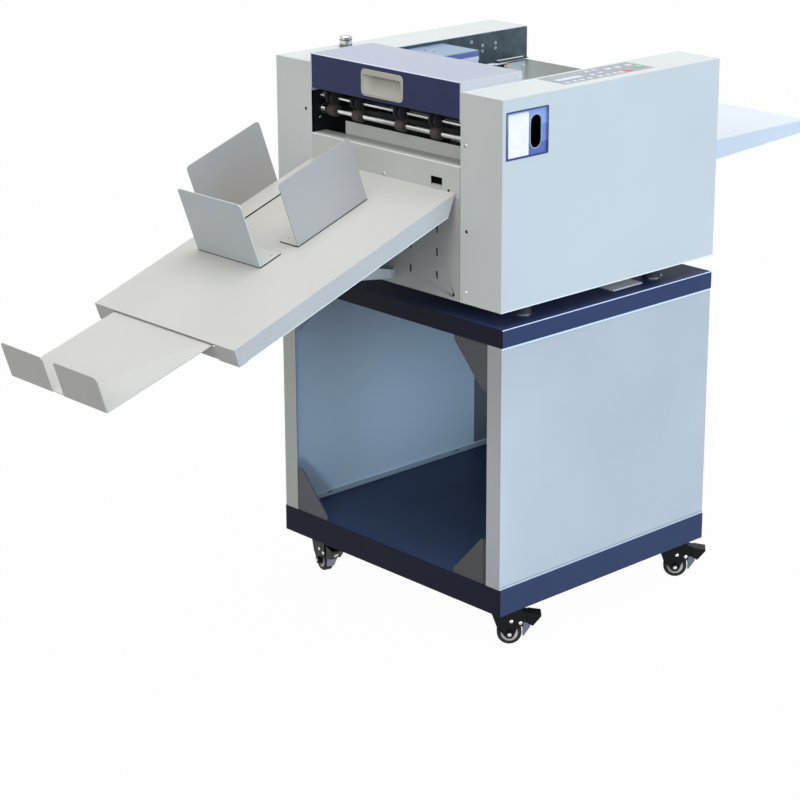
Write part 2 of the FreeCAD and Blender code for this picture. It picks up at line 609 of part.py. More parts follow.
def delivery_front_panel():
    """Front panel below the mouth with a folded ledge, hook slots and vents."""
    body = machine_body("delivery_front_panel")
    wall = [("0", "0"), ("skin", "0"), ("skin", "front_height - skin"),
            ("mouth_depth", "front_height - skin"), ("mouth_depth", "front_height"),
            ("0", "front_height")]
    add(body, "XZ", WELL_Y0, "%s - %s" % (WELL_Y1, WELL_Y0), wall)
    cut(body, "YZ", "0", "skin",
        *[rect(y, "hook_slot_bottom", "%s + hook_width" % y,
               "hook_slot_bottom + hook_slot_height") for y in HOOKS_Y])
    vents = [vent("%s + %s" % (TRAY_MIDDLE, reach))
             for reach in ("vent_outer_y", "vent_inner_y", "-vent_outer_y", "-vent_inner_y")]
    lowest = cut(body, "YZ", "0", "skin", *vents)
    repeat(body, lowest, "V_Axis", "2 * vent_pitch", 3)
    cut(body, "YZ", "0", "skin", circle("cable_hole_y", "cable_hole_z", "cable_hole_radius"))


def vent(y):
    """Outline of one upright vent slot in the lowest row, narrowed at its ends."""
    top = "vent_bottom + vent_height"
    half = "vent_width / 2"
    narrow = "vent_width / 5"
    return [("%s - %s" % (y, half), "vent_bottom + %s" % narrow),
            ("%s - %s" % (y, narrow), "vent_bottom"), ("%s + %s" % (y, narrow), "vent_bottom"),
            ("%s + %s" % (y, half), "vent_bottom + %s" % narrow),
            ("%s + %s" % (y, half), "%s - %s" % (top, narrow)), ("%s + %s" % (y, narrow), top),
            ("%s - %s" % (y, narrow), top), ("%s - %s" % (y, half), "%s - %s" % (top, narrow))]


def delivery_baffle():
    """Upright sheet behind the mouth's ledge."""
    body = machine_body("delivery_baffle")
    add(body, "YZ", "mouth_depth", "baffle_sheet",
        rect(WELL_Y0, "front_height - skin", "%s - baffle_short" % WELL_Y1,
             "front_height + baffle_height"))


def feed_end_panel():
    """Cross wall at the feed end with the window that the table passes."""
    body = machine_body("feed_end_panel")
    add(body, "YZ", "body_length - skin", "skin",
        rect(WELL_Y0, "0", WELL_Y1, "cross_wall_height"),
        rect("%s + window_margin" % WELL_Y0, "window_bottom",
             "%s - window_margin" % WELL_Y1, "window_top"))


def instruction_recess():
    """Shallow pan in the operator cover with an obround finger opening."""
    body = machine_body("instruction_recess")
    add(body, "XZ", "0", "recess_depth",
        rect("recess_x", "recess_z", "recess_x + recess_length", "recess_z + recess_height"))
    cut(body, "XZ", "0", "recess_depth - recess_wall",
        rect("recess_x + recess_wall", "recess_z + recess_wall",
             "recess_x + recess_length - recess_wall",
             "recess_z + recess_height - recess_wall", "recess_corner"))
    cut(body, "XZ", "recess_depth - recess_wall", "recess_wall",
        rect("obround_x", "obround_z", "obround_x + obround_width",
             "obround_z + obround_height", "0.48 * obround_width"))


# ---------------------------------------------------------------------------
# Side frames
# ---------------------------------------------------------------------------
def side_frame(label, start):
    """Thick side plate with bearing seats and a lightening window."""
    body = machine_body(label)
    plate = rect("frame_end_gap", "base_plate", "body_length - frame_end_gap", FRAME_TOP)
    seats = [circle("lower_shaft_x", "lower_shaft_z", "lower_shaft_radius + fit + bearing_wall"),
             circle(UPPER_X, UPPER_Z, "upper_shaft_radius + fit + bearing_wall")]
    window = rect("frame_window_x", "frame_window_z", "frame_window_x + frame_window_length",
                  "frame_window_z + frame_window_height", "frame_window_corner")
    add(body, "XZ", start, "frame_plate", plate, window, *seats)


# ---------------------------------------------------------------------------
# Controls
# ---------------------------------------------------------------------------
KEYS = [("start_key", "start_key_x", "start_key_y"), ("stop_key", "stop_key_x", "stop_key_y")]


def key_outline(x, y, growth):
    """Rounded outline of a key, grown by a clearance for its well."""
    return rect("%s - key_length / 2 - %s" % (x, growth), "%s - key_width / 2 - %s" % (y, growth),
                "%s + key_length / 2 + %s" % (x, growth), "%s + key_width / 2 + %s" % (y, growth),
                "key_corner")


def control_keypad():
    """Keypad set in the operator cover from below, with two wells for keys."""
    body = machine_body("control_keypad")
    end_x = "keypad_start_x + keypad_length"
    end_y = "keypad_start_y + keypad_width"
    add(body, "XY", "%s - keypad_flange" % FRAME_TOP, "keypad_flange",
        rect("keypad_start_x - keypad_flange", "keypad_start_y - keypad_flange",
             "%s + keypad_flange" % end_x, "operator_cover_width - frame_plate"))
    add(body, "XY", "body_height - keypad_depth", "keypad_depth",
        rect("keypad_start_x", "keypad_start_y", end_x, end_y))
    cut(body, "XY", "body_height - key_well", "key_well",
        *[key_outline(x, y, "gap") for _, x, y in KEYS])


def key_cap(label, x, y):
    """One key cap, standing proud of the keypad by its rise."""
    body = machine_body(label)
    add(body, "XY", "body_height - key_depth", "key_depth + key_rise", key_outline(x, y, "0"))


def depth_knob():
    """Turned knob on a plain stem."""
    body = new_body("depth_knob", "knob_x", KNOB_Y, "%s + body_height" % MACHINE_Z)
    rim = [("0", "-knob_stem"), ("knob_stem_radius", "-knob_stem"),
           ("knob_stem_radius", "gap"), ("knob_radius", "gap"),
           ("knob_radius", "knob_height - knob_bevel"),
           ("knob_radius - knob_bevel", "knob_height"), ("0", "knob_height")]
    turn_solid(body, "XZ", "V_Axis", rim)


# ---------------------------------------------------------------------------
# Hinged cover over the crease unit
# ---------------------------------------------------------------------------
COVER_Y0 = "(%s + cover_side_gap)" % WELL_Y0
COVER_Y1 = "(%s - cover_side_gap)" % WELL_Y1
HANDLE_TOP = "(%s - handle_drop)" % COVER_TOP
HANDLE_Y0 = "(%s + handle_shift - handle_width / 2)" % WELL_MIDDLE
HANDLE_Y1 = "(%s + handle_shift + handle_width / 2)" % WELL_MIDDLE


def hinged_cover():
    """Hood: front, top and tapering sides, with knuckles round the hinge rod."""
    body = machine_body("hinged_cover")
    low = "%s - cover_front" % COVER_TOP
    add(body, "XY", low, "cover_front", rect("0", COVER_Y0, "cover_length", COVER_Y1))
    cut(body, "XY", low, "cover_front - skin",
        rect("skin", "%s + skin" % COVER_Y0, "cover_length", "%s - skin" % COVER_Y1))
    taper = [("2 * skin", low), ("cover_length", low),
             ("cover_length", "%s - cover_web" % COVER_TOP)]
    cut(body, "XZ", COVER_Y0, "%s - %s" % (COVER_Y1, COVER_Y0), taper)
    cut(body, "YZ", "0", "skin",
        rect("%s + bezel_width" % HANDLE_Y0, "%s - handle_height + bezel_width" % HANDLE_TOP,
             "%s - bezel_width" % HANDLE_Y1, "%s - bezel_width" % HANDLE_TOP,
             "handle_corner - bezel_width"))
    eye = [("rod_x - knuckle_radius", "%s - skin" % COVER_TOP),
           ("rod_x - knuckle_radius", "%s - knuckle_radius" % HINGE_Z),
           ("rod_x + knuckle_radius", "%s - knuckle_radius" % HINGE_Z),
           ("rod_x + knuckle_radius", "%s - skin" % COVER_TOP)]
    for start in ("%s + knuckle_inset" % COVER_Y0,
                  "(%s + %s - knuckle_width) / 2" % (COVER_Y0, COVER_Y1),
                  "%s - knuckle_inset - knuckle_width" % COVER_Y1):
        add(body, "XZ", start, "knuckle_width", eye)
    cut(body, "XZ", COVER_Y0, "%s - %s" % (COVER_Y1, COVER_Y0),
        circle("rod_x", HINGE_Z, "hinge_rod_radius + fit"))


def cover_cheeks():
    """Fixed cheeks beside the hood, screwed to the side frames."""
    body = machine_body("cover_cheeks")
    side = rect("0", "%s - cheek_drop - cover_rise" % COVER_TOP, "cover_length", COVER_TOP)
    bore = circle("rod_x", HINGE_Z, "hinge_rod_radius")
    for start in (WELL_Y0, "%s - cheek_sheet" % WELL_Y1):
        add(body, "XZ", start, "cheek_sheet", side, bore)


def cover_handle():
    """Moulded pull: a bezel on the hood's front and a bowl behind it."""
    body = machine_body("cover_handle")
    low = "%s - handle_height" % HANDLE_TOP
    add(body, "YZ", "-bezel_rise", "bezel_rise",
        rect(HANDLE_Y0, low, HANDLE_Y1, HANDLE_TOP, "handle_corner"))
    bowl, hollow = [rect("%s + %s" % (HANDLE_Y0, inset), "%s + %s" % (low, inset),
                         "%s - %s" % (HANDLE_Y1, inset), "%s - %s" % (HANDLE_TOP, inset),
                         "handle_corner - %s" % inset)
                    for inset in ("bezel_width", "(bezel_width + skin)")]
    add(body, "YZ", "0", "handle_depth", bowl)
    cut(body, "YZ", "-bezel_rise", "bezel_rise + handle_depth - skin", hollow)


def cover_hinge_rod():
    """Rod through both cheeks that the hood turns on."""
    body = machine_body("cover_hinge_rod")
    add(body, "XZ", WELL_Y0, "%s - %s" % (WELL_Y1, WELL_Y0),
        circle("rod_x", HINGE_Z, "hinge_rod_radius"))


# ---------------------------------------------------------------------------
# Delivery rollers and their drive
# ---------------------------------------------------------------------------
def shaft(label, x, z, radius):
    """Round shaft across both side frames, out to the gears."""
    body = new_body(label, x, "0", "%s + %s" % (MACHINE_Z, z))
    start = "%s - frame_plate" % WELL_Y0
    add(body, "XZ", start, "%s - (%s)" % (SHAFT_END_Y, start), circle("0", "0", radius))


def lower_delivery_rollers():
    """Four rubber rollers on the lower shaft."""
    body = new_body("lower_delivery_rollers", "lower_shaft_x", "0",
                    "%s + lower_shaft_z" % MACHINE_Z)
    for middle in ROLLERS:
        add(body, "XZ", "%s - roller_width / 2" % middle, "roller_width",
            circle("0", "0", "lower_roller_radius"), circle("0", "0", "lower_shaft_radius"))


def upper_delivery_discs():
    """Four pairs of discs on the upper shaft."""
    body = new_body("upper_delivery_discs", UPPER_X, "0", "%s + %s" % (MACHINE_Z, UPPER_Z))
    for middle in ROLLERS:
        for start in ("%s - roller_width / 2" % middle,
                      "%s + roller_width / 2 - disc_width" % middle):
            add(body, "XZ", start, "disc_width",
                circle("0", "0", UPPER_RADIUS), circle("0", "0", "upper_shaft_radius"))


def shaft_bearings():
    """Flanged bushes of both shafts in both side frames."""
    body = machine_body("shaft_bearings")
    shafts = [("lower_shaft_x", "lower_shaft_z", "lower_shaft_radius"),
              (UPPER_X, UPPER_Z, "upper_shaft_radius")]
    for x, z, radius in shafts:
        bore = circle(x, z, "%s + fit" % radius)
        sleeve = circle(x, z, "%s + fit + bearing_wall" % radius)
        flange = circle(x, z, "%s + fit + bearing_wall + bearing_flange_rise" % radius)
        add(body, "XZ", "%s - frame_plate" % WELL_Y0, "frame_plate", sleeve, bore)
        add(body, "XZ", WELL_Y0, "bearing_flange", flange, bore)
        add(body, "XZ", WELL_Y1, "frame_plate", sleeve, bore)
        add(body, "XZ", "%s - bearing_flange" % WELL_Y1, "bearing_flange", flange, bore)


def tooth_half_angle(radius, teeth):
    """Half of the angle that an involute tooth fills at a radius."""
    pitch = value("gear_module") * teeth / 2
    pressure = math.radians(20)
    base = pitch * math.cos(pressure)
    half = (math.pi * value("gear_module") / 2 - value("backlash")) / (2 * pitch)
    slope = math.acos(min(1.0, base / radius))
    return half + (math.tan(pressure) - pressure) - (math.tan(slope) - slope)


def gear_shape(teeth, bore, phase):
    """Spur gear round Y with involute flanks and a tooth centred at phase."""
    module = value("gear_module")
    pitch = module * teeth / 2
    base = pitch * math.cos(math.radians(20))
    radii = [pitch - 1.25 * module, pitch, pitch + module]
    flank = [(radius, tooth_half_angle(max(radius, base), teeth)) for radius in radii]
    tooth = [(r, -half) for r, half in flank] + [(r, half) for r, half in reversed(flank)]
    points = []
    for number in range(teeth):
        middle = math.radians(phase) + 2 * math.pi * number / teeth
        points += [Vector(r * math.cos(middle + a), 0, r * math.sin(middle + a))
                   for r, a in tooth]
    blank = Part.Face(Part.makePolygon(points + points[:1]))
    solid = blank.extrude(Vector(0, value("gear_width"), 0))
    hole = Part.makeCylinder(bore, value("gear_width"), Vector(0, 0, 0), Vector(0, 1, 0))
    return solid.cut(hole)


def gear(label, shape, x, z):
    """Place a gear's shape outside the rear side frame."""
    feature = doc.addObject("Part::Feature", label)
    feature.Label = label
    feature.Shape = shape
    put(feature, x, GEAR_Y, "%s + %s" % (MACHINE_Z, z))
    sub_parts.append(feature)


def drive_gears():
    """Three meshed gears; each phase sets a tooth of one in a gap of the next."""
    lower, upper, pinion = (int(value(name)) for name in
                            ("lower_teeth", "upper_teeth", "pinion_teeth"))
    to_upper = math.degrees(math.atan2(value("%s - lower_shaft_z" % UPPER_Z),
                                       value("%s - lower_shaft_x" % UPPER_X)))
    to_pinion = value("pinion_angle")
    lag = (to_pinion - to_upper) % (360 / lower)
    gear("lower_shaft_gear", gear_shape(lower, value("lower_shaft_radius"), to_upper),
         "lower_shaft_x", "lower_shaft_z")
    gear("upper_shaft_gear",
         gear_shape(upper, value("upper_shaft_radius"), to_upper + 180 + 180 / upper),
         UPPER_X, UPPER_Z)
    phase = to_pinion + 180 + lag * lower / pinion + 180 / pinion
    wheel = gear_shape(pinion, value("motor_shaft_radius"), phase)
    length = value("gear_width + motor_clearance")
    pin = Part.makeCylinder(value("motor_shaft_radius"), length,
                            Vector(0, 0, 0), Vector(0, 1, 0))
    gear("motor_pinion", wheel.fuse(pin), PINION_X, PINION_Z)


def drive_motor():
    """Stepping motor on a plate with three posts outside the rear frame."""
    body = new_body("drive_motor", PINION_X, "0", "%s + %s" % (MACHINE_Z, PINION_Z))
    frame_y = "%s + frame_plate" % WELL_Y1
    plate_y = "%s + gear_width + motor_clearance" % GEAR_Y
    half = "motor_size / 2"
    add(body, "XZ", plate_y, "motor_plate + motor_length",
        rect("-%s" % half, "-%s" % half, half, half, "motor_corner"))
    spread = "motor_post_pitch / 2"
    posts = [("-%s" % spread, "-%s" % spread), (spread, "-%s" % spread), (spread, spread)]
    add(body, "XZ", frame_y, "%s - (%s)" % (plate_y, frame_y),
        *[circle(x, z, "motor_post_radius") for x, z in posts])


# ---------------------------------------------------------------------------
# Crease unit and register deck
# ---------------------------------------------------------------------------
def creasing_die():
    """Grooved steel bar under the paper path."""
    body = machine_body("creasing_die")
    half = "die_width / 2"
    slit = "groove_width / 2"
    section = [("crease_x - %s" % half, "%s - die_height" % PAPER_Z),
               ("crease_x + %s" % half, "%s - die_height" % PAPER_Z),
               ("crease_x + %s" % half, PAPER_Z), ("crease_x + %s" % slit, PAPER_Z),
               ("crease_x + %s" % slit, "%s - groove_depth" % PAPER_Z),
               ("crease_x - %s" % slit, "%s - groove_depth" % PAPER_Z),
               ("crease_x - %s" % slit, PAPER_Z), ("crease_x - %s" % half, PAPER_Z)]
    add(body, "XZ", WELL_Y0, "%s - %s" % (WELL_Y1, WELL_Y0), section)


def crease_blade_bar():
    """Beam with the creasing blade, which dips into the die's groove."""
    body = machine_body("crease_blade_bar")
    tip = "(%s + blade_lift)" % PAPER_Z
    shoulder = "(%s + blade_height)" % tip
    half = "beam_width / 2"
    edge = "blade_width / 2"
    section = [("crease_x - %s" % edge, tip), ("crease_x + %s" % edge, tip),
               ("crease_x + %s" % edge, shoulder), ("crease_x + %s" % half, shoulder),
               ("crease_x + %s" % half, "%s + beam_height" % shoulder),
               ("crease_x - %s" % half, "%s + beam_height" % shoulder),
               ("crease_x - %s" % half, shoulder), ("crease_x - %s" % edge, shoulder)]
    add(body, "XZ", "%s + gap" % WELL_Y0, "%s - %s - 2 * gap" % (WELL_Y1, WELL_Y0), section)


def register_deck():
    """Paper path plates before and behind the die, level with its top."""
    body = machine_body("register_deck")
    spans = [("deck_front_x", "crease_x - die_width / 2"),
             ("crease_x + die_width / 2", "deck_end_x")]
    for start, end in spans:
        add(body, "XY", "%s - deck_sheet" % PAPER_Z, "deck_sheet",
            rect(start, WELL_Y0, end, WELL_Y1))


# ---------------------------------------------------------------------------
# Feeder
# ---------------------------------------------------------------------------
def suction_head():
    """Suction box over the stack, hung from a cross beam, with three belts."""
    body = machine_body("suction_head")
    low = "(%s + suction_lift)" % PAPER_Z
    beam = "(%s + suction_height - suction_beam_height / 2)" % low
    add(body, "XY", low, "suction_height",
        rect("suction_x - suction_length / 2", SUCTION_Y0,
             "suction_x + suction_length / 2", SUCTION_Y1))
    add(body, "XZ", "%s + liner_sheet" % WELL_Y0,
        "%s - %s - 2 * liner_sheet" % (WELL_Y1, WELL_Y0),
        rect("suction_x - suction_beam_width / 2", beam,
             "suction_x + suction_beam_width / 2", "%s + suction_beam_height" % beam))
    for sixth in (1, 3, 5):
        start = "%s + (%s - %s) * %d / 6 - belt_width / 2" % (
            SUCTION_Y0, SUCTION_Y1, SUCTION_Y0, sixth)
        outer = rect("suction_x - suction_length / 2 - belt_sheet", "%s - belt_sheet" % low,
                     "suction_x + suction_length / 2 + belt_sheet",
                     "%s + suction_height / 2" % low)
        inner = rect("suction_x - suction_length / 2", low,
                     "suction_x + suction_length / 2", "%s + suction_height / 2" % low)
        add(body, "XZ", start, "belt_width", outer)
        cut(body, "XZ", start, "belt_width", inner)
        add(body, "XZ", start, "belt_width", inner)


def blower_box():
    """Blower housing on the deck with a banded rim and a plated lid."""
    body = machine_body("blower_box")
    far = "%s - liner_sheet" % WELL_Y1
    body_top = "box_height - box_band - box_lid"
    add(body, "XY", PAPER_Z, body_top,
        rect("box_start_x + box_step", "%s + box_step" % BOX_Y0,
             "box_end_x - box_step", "%s - box_step" % far))
    add(body, "XY", "%s + %s" % (PAPER_Z, body_top), "box_band + box_lid",
        rect("box_start_x", BOX_Y0, "box_end_x", far))


def feed_table():
    """Lifting table: folded tray with tapering sides on a bored carriage."""
    body = machine_body("feed_table")
    y_low = "(%s + table_side_gap)" % WELL_Y0
    y_high = "(%s - table_side_gap)" % WELL_Y1
    side = [("table_start_x", "table_height"),
            ("table_start_x", "table_height - table_root_depth"),
            ("table_end_x", "table_height - table_tip_depth"), ("table_end_x", "table_height")]
    add(body, "XZ", y_low, "%s - %s" % (y_high, y_low), side)
    inner_top = "table_height - table_sheet"
    inner = [("table_start_x + table_sheet", inner_top),
             ("table_start_x + table_sheet", "table_height - 2 * table_root_depth"),
             ("table_end_x - table_sheet", "table_height - 2 * table_root_depth"),
             ("table_end_x - table_sheet", inner_top)]
    cut(body, "XZ", "%s + table_sheet" % y_low,
        "%s - %s - 2 * table_sheet" % (y_high, y_low), inner)
    add(body, "XY", "table_height - carriage_drop - carriage_height", "carriage_height",
        rect("table_start_x - carriage_depth", "%s + carriage_inset" % WELL_Y0,
             "table_start_x", "%s - carriage_inset" % WELL_Y1),
        *rod_circles("rod_radius + fit"))


def rod_circles(radius):
    """Plan of both guide rods with the given radius."""
    return [circle("table_start_x - carriage_depth / 2", y, radius)
            for y in ("%s - rod_inset" % WELL_Y1, "%s + rod_inset" % WELL_Y0)]


def lift_guide_rods():
    """Two upright rods between the base plate and the deck."""
    body = machine_body("lift_guide_rods")
    add(body, "XY", "base_plate", "%s - deck_sheet - base_plate" % PAPER_Z,
        *rod_circles("rod_radius"))


# ---------------------------------------------------------------------------
# Delivery tray, its guides, its extension and its support arm
# ---------------------------------------------------------------------------
HOOK_Z = "(hook_slot_bottom - tray_height + hook_lift)"


def delivery_tray():
    """Folded tray with side flanges, corner lips, hooks and extension rails."""
    body = tray_body("delivery_tray")
    side = [("-gap", "0"), ("-tray_nose", "-tray_flange"), ("-tray_length", "-tray_flange"),
            ("-tray_length", "0")]
    add(body, "XZ", TRAY_Y0, "tray_width", side)
    cut(body, "XZ", "%s + tray_sheet" % TRAY_Y0, "tray_width - 2 * tray_sheet",
        [("0", "-tray_sheet"), ("0", "-tray_flange"),
         ("tray_sheet - tray_length", "-tray_flange"),
         ("tray_sheet - tray_length", "-tray_sheet")])
    cut(body, "XZ", "%s + tray_lip" % TRAY_Y0, "tray_width - 2 * tray_lip",
        rect("-tray_length", "-tray_flange", "tray_sheet - tray_length", "-tray_sheet"))
    add_tray_hooks(body)
    add_tray_rails(body)


def level(x, z):
    """A level and upright offset from the tray's upper edge, in its own frame."""
    return ("(%s) * cos(tray_slope) + (%s) * sin(tray_slope)" % (x, z),
            "(%s) * cos(tray_slope) - (%s) * sin(tray_slope)" % (z, x))


def add_tray_hooks(body):
    """Two tongues through the front panel's slots, turned down behind it."""
    top = "%s + hook_sheet" % HOOK_Z
    out = "-gap - hook_sheet"
    tongue = [level(out, "-hook_root"), level("-gap", "-hook_root"),
              level("-gap", HOOK_Z), level("hook_reach - hook_sheet", HOOK_Z),
              level("hook_reach - hook_sheet", "%s - hook_drop" % HOOK_Z),
              level("hook_reach", "%s - hook_drop" % HOOK_Z), level("hook_reach", top),
              level(out, top)]
    for hook_y in HOOKS_Y:
        add(body, "XZ", "%s + 2 * gap" % hook_y, "hook_width - 4 * gap", tongue)


def add_tray_rails(body):
    """Two ledges below the tray's skin that hold the extension's edges."""
    end = "(2 * tray_sheet - tray_length)"
    start = "(-rail_start)"

    def ledge_top(x):
        """Height of a ledge just below the extension, which slopes less."""
        return ("(-(extension_drop + extension_sheet) * cos(tray_slope) - gap"
                " - (%s + extension_start / cos(tray_slope))"
                " * tan(tray_slope - extension_slope))" % x)

    ledge = [(end, ledge_top(end)), (end, "%s - tray_sheet" % ledge_top(end)),
             (start, "%s - tray_sheet" % ledge_top(start)), (start, ledge_top(start))]
    web = [(end, "-tray_sheet"), ledge[1], ledge[2], (start, "-tray_sheet")]
    sides = [("%s - rail_gap - tray_sheet" % EXTENSION_Y0,) * 2,
             ("%s + rail_gap" % EXTENSION_Y1,
              "%s + rail_gap + tray_sheet - rail_width" % EXTENSION_Y1)]
    for web_start, ledge_start in sides:
        add(body, "XZ", web_start, "tray_sheet", web)
        add(body, "XZ", ledge_start, "rail_width", ledge)


def tray_support_arm():
    """Channel under the tray, from a flange on the front panel to the tray."""
    body = machine_body("tray_support_arm")
    y_low = "(%s - arm_width / 2)" % TRAY_MIDDLE

    def under_tray(reach):
        """Height of the tray's underside at a distance from the panel."""
        return "(tray_height - %s * tan(tray_slope) - (tray_sheet + arm_bend_gap)" \
               " / cos(tray_slope))" % reach
    top_root = "arm_root_z + arm_root_height"
    side = [("0", "arm_root_z"), ("0", top_root), ("-arm_rest", under_tray("arm_rest")),
            ("-arm_reach", under_tray("arm_reach")),
            ("-arm_reach", "arm_root_z + arm_reach * tan(arm_sweep)")]
    add(body, "XZ", y_low, "arm_width", side)
    inner = [("0", "arm_root_z + arm_sheet"), ("0", "2 * tray_height"),
             ("-2 * arm_reach", "2 * tray_height"),
             ("-2 * arm_reach", "arm_root_z + arm_sheet + 2 * arm_reach * tan(arm_sweep)")]
    cut(body, "XZ", "%s + arm_sheet" % y_low, "arm_width - 2 * arm_sheet", inner)
    add(body, "YZ", "-arm_sheet", "arm_sheet",
        rect(y_low, "arm_root_z - arm_flange",
             "%s + arm_width" % y_low, "%s + arm_flange" % top_root))


def guide_plate(body, plane, plate_start, low, high, foot):
    """Upright plate with rounded top corners on a folded foot."""
    base = "gap"
    top = "guide_height"
    points = [(low, base), (high, base), (high, top, "guide_corner"), (low, top, "guide_corner")]
    add(body, plane, plate_start, "guide_sheet", points)
    add(body, "XY", base, "guide_sheet", foot)


def near_side_guide():
    """Side guide nearer the operator, with its foot towards the paper."""
    body = tray_body("near_side_guide")
    start = "%s + near_guide - guide_sheet" % TRAY_MIDDLE
    foot = rect("-near_guide_end", start, "-near_guide_start", "%s + guide_foot" % start)
    guide_plate(body, "XZ", start, "-near_guide_end", "-near_guide_start", foot)


def rear_side_guide():
    """Side guide at the rear, with its foot towards the paper."""
    body = tray_body("rear_side_guide")
    end = "(%s + rear_guide)" % TRAY_MIDDLE
    foot = rect("-rear_guide_end", "%s - guide_foot" % end, "-rear_guide_start", end)
    guide_plate(body, "XZ", "%s - guide_sheet" % end, "-rear_guide_end", "-rear_guide_start",
                foot)


def end_stop_guide():
    """End stop across the tray, with its foot uphill."""
    body = tray_body("end_stop_guide")
    start, end = ["%s + %s" % (TRAY_MIDDLE, place) for place in ("stop_start", "stop_end")]
    foot = rect("-stop_plate", start, "-stop_plate + guide_foot", end)
    guide_plate(body, "YZ", "-stop_plate", start, end, foot)


def tray_extension():
    """Sliding sheet under the tray's end with two upturned tabs."""
    body = new_body("tray_extension", "-extension_start", "0",
                    "%s + tray_height - extension_start * tan(tray_slope) - extension_drop"
                    % MACHINE_Z, Vector(0, 1, 0), "-extension_slope")
    tip = "(-extension_length)"
    add(body, "XY", "-extension_sheet", "extension_sheet",
        rect(tip, EXTENSION_Y0, "extension_tuck", EXTENSION_Y1))
    tabs = [rect(EXTENSION_Y0, "-extension_sheet", "%s + tab_width" % EXTENSION_Y0,
                 "tab_height"),
            rect("%s - tab_width" % EXTENSION_Y1, "-extension_sheet", EXTENSION_Y1,
                 "tab_height")]
    for tab in tabs:
        rounded = [tab[0], tab[1], tab[2] + ("guide_corner",), tab[3] + ("guide_corner",)]
        add(body, "YZ", "%s - extension_sheet" % tip, "extension_sheet", rounded)


# ---------------------------------------------------------------------------
# Build
# ---------------------------------------------------------------------------
stand_base_pan()
stand_operator_panel()
stand_rear_panel()
stand_feed_end_panel()
stand_top_frame()
stand_gussets()
castor_plates()
for castor in CASTORS:
    castor_fork(*castor)
    castor_wheel(*castor)
    castor_pedal(*castor)
machine_feet()
machine_base_plate()
operator_side_cover()
rear_side_cover()
cover_liner_plates()
delivery_front_panel()
delivery_baffle()
feed_end_panel()
instruction_recess()
side_frame("operator_side_frame", "%s - frame_plate" % WELL_Y0)
side_frame("rear_side_frame", WELL_Y1)
control_keypad()
for key in KEYS:
    key_cap(*key)
depth_knob()
hinged_cover()
cover_cheeks()
cover_handle()
cover_hinge_rod()
shaft("lower_delivery_shaft", "lower_shaft_x", "lower_shaft_z", "lower_shaft_radius")
shaft("upper_delivery_shaft", UPPER_X, UPPER_Z, "upper_shaft_radius")
lower_delivery_rollers()
upper_delivery_discs()
shaft_bearings()
drive_gears()
drive_motor()
creasing_die()
crease_blade_bar()
register_deck()
suction_head()
blower_box()
feed_table()
lift_guide_rods()
delivery_tray()
tray_support_arm()
near_side_guide()
rear_side_guide()
end_stop_guide()
tray_extension()
doc.recompute()

# The origin goes to the middle of the whole box, on the floor.
boxes = [part.Shape.BoundBox for part in sub_parts]
middle_x = (min(box.XMin for box in boxes) + max(box.XMax for box in boxes)) / 2
middle_y = (min(box.YMin for box in boxes) + max(box.YMax for box in boxes)) / 2
for alias, number in (("origin_x", middle_x), ("origin_y", middle_y)):
    sheet.set(sheet.getCellFromAlias(alias), "%.4f" % number)
doc.recompute()

for item in doc.Objects:
    if "Invalid" in item.State or "Error" in item.State:
        raise RuntimeError("%s failed: %s" % (item.Label, item.State))
    if item.TypeId == "PartDesign::Pocket" and not item.Shape.Volume < item.BaseFeature.Shape.Volume:
        raise RuntimeError("%s cuts nothing" % item.Label)
for part in sub_parts:
    if part.Shape.isNull() or not part.Shape.isValid():
        raise RuntimeError("%s has no valid shape" % part.Label)

os.makedirs("parts", exist_ok=True)
for part in sub_parts:
    part.Shape.exportStep("parts/%s.step" % part.Label)
print("%d sub-parts, origin at x %.4f, y %.4f" % (len(sub_parts), middle_x, middle_y))
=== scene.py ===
"""Looks of a paper creasing machine that stands on its castor stand.

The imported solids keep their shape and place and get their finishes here. The small
pieces that they leave out, such as screws, keys and rims, are built on them in mesh
code and ride with them. Sizes are in millimetres from the machine's own corner: x runs
from the delivery face to the feed end, y from the operator face to the rear, and z up
from the machine's underside.
"""

import logging
import math
from dataclasses import dataclass, field
from enum import Enum
from typing import Any, Callable, Iterable, Sequence

import bmesh
import bpy
from mathutils import Euler, Matrix, Vector


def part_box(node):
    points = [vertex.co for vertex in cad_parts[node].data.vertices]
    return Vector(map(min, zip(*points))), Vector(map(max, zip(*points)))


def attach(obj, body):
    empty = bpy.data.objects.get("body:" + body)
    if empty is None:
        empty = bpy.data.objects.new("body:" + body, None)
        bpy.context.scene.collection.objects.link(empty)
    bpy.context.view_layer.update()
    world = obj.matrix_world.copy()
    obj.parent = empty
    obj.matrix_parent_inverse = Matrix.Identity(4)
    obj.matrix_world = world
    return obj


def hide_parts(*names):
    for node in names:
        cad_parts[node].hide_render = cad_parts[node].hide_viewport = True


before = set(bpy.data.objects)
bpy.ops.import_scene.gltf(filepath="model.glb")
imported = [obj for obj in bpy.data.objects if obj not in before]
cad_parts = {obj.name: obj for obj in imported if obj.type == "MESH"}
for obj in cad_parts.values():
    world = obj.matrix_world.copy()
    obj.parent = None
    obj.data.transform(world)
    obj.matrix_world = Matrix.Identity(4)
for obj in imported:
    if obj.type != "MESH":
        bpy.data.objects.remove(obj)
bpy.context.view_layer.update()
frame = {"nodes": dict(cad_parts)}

MM = 0.001
FAR = 5000.0  # Millimetres, beyond every piece.
Colour = tuple[float, float, float]
Point = tuple[float, float, float]
Pair = tuple[float, float]
Size = tuple[float, float, float]  # The three sizes of a form, as its class names them.
Plate = tuple[float, float, float, float]  # Width, height, thickness and corner.
Rim = tuple[float, float, float, float, float]  # Width, height, corner, border and rise.
Socket = bpy.types.NodeSocket
LOG = logging.getLogger("creasing_machine")


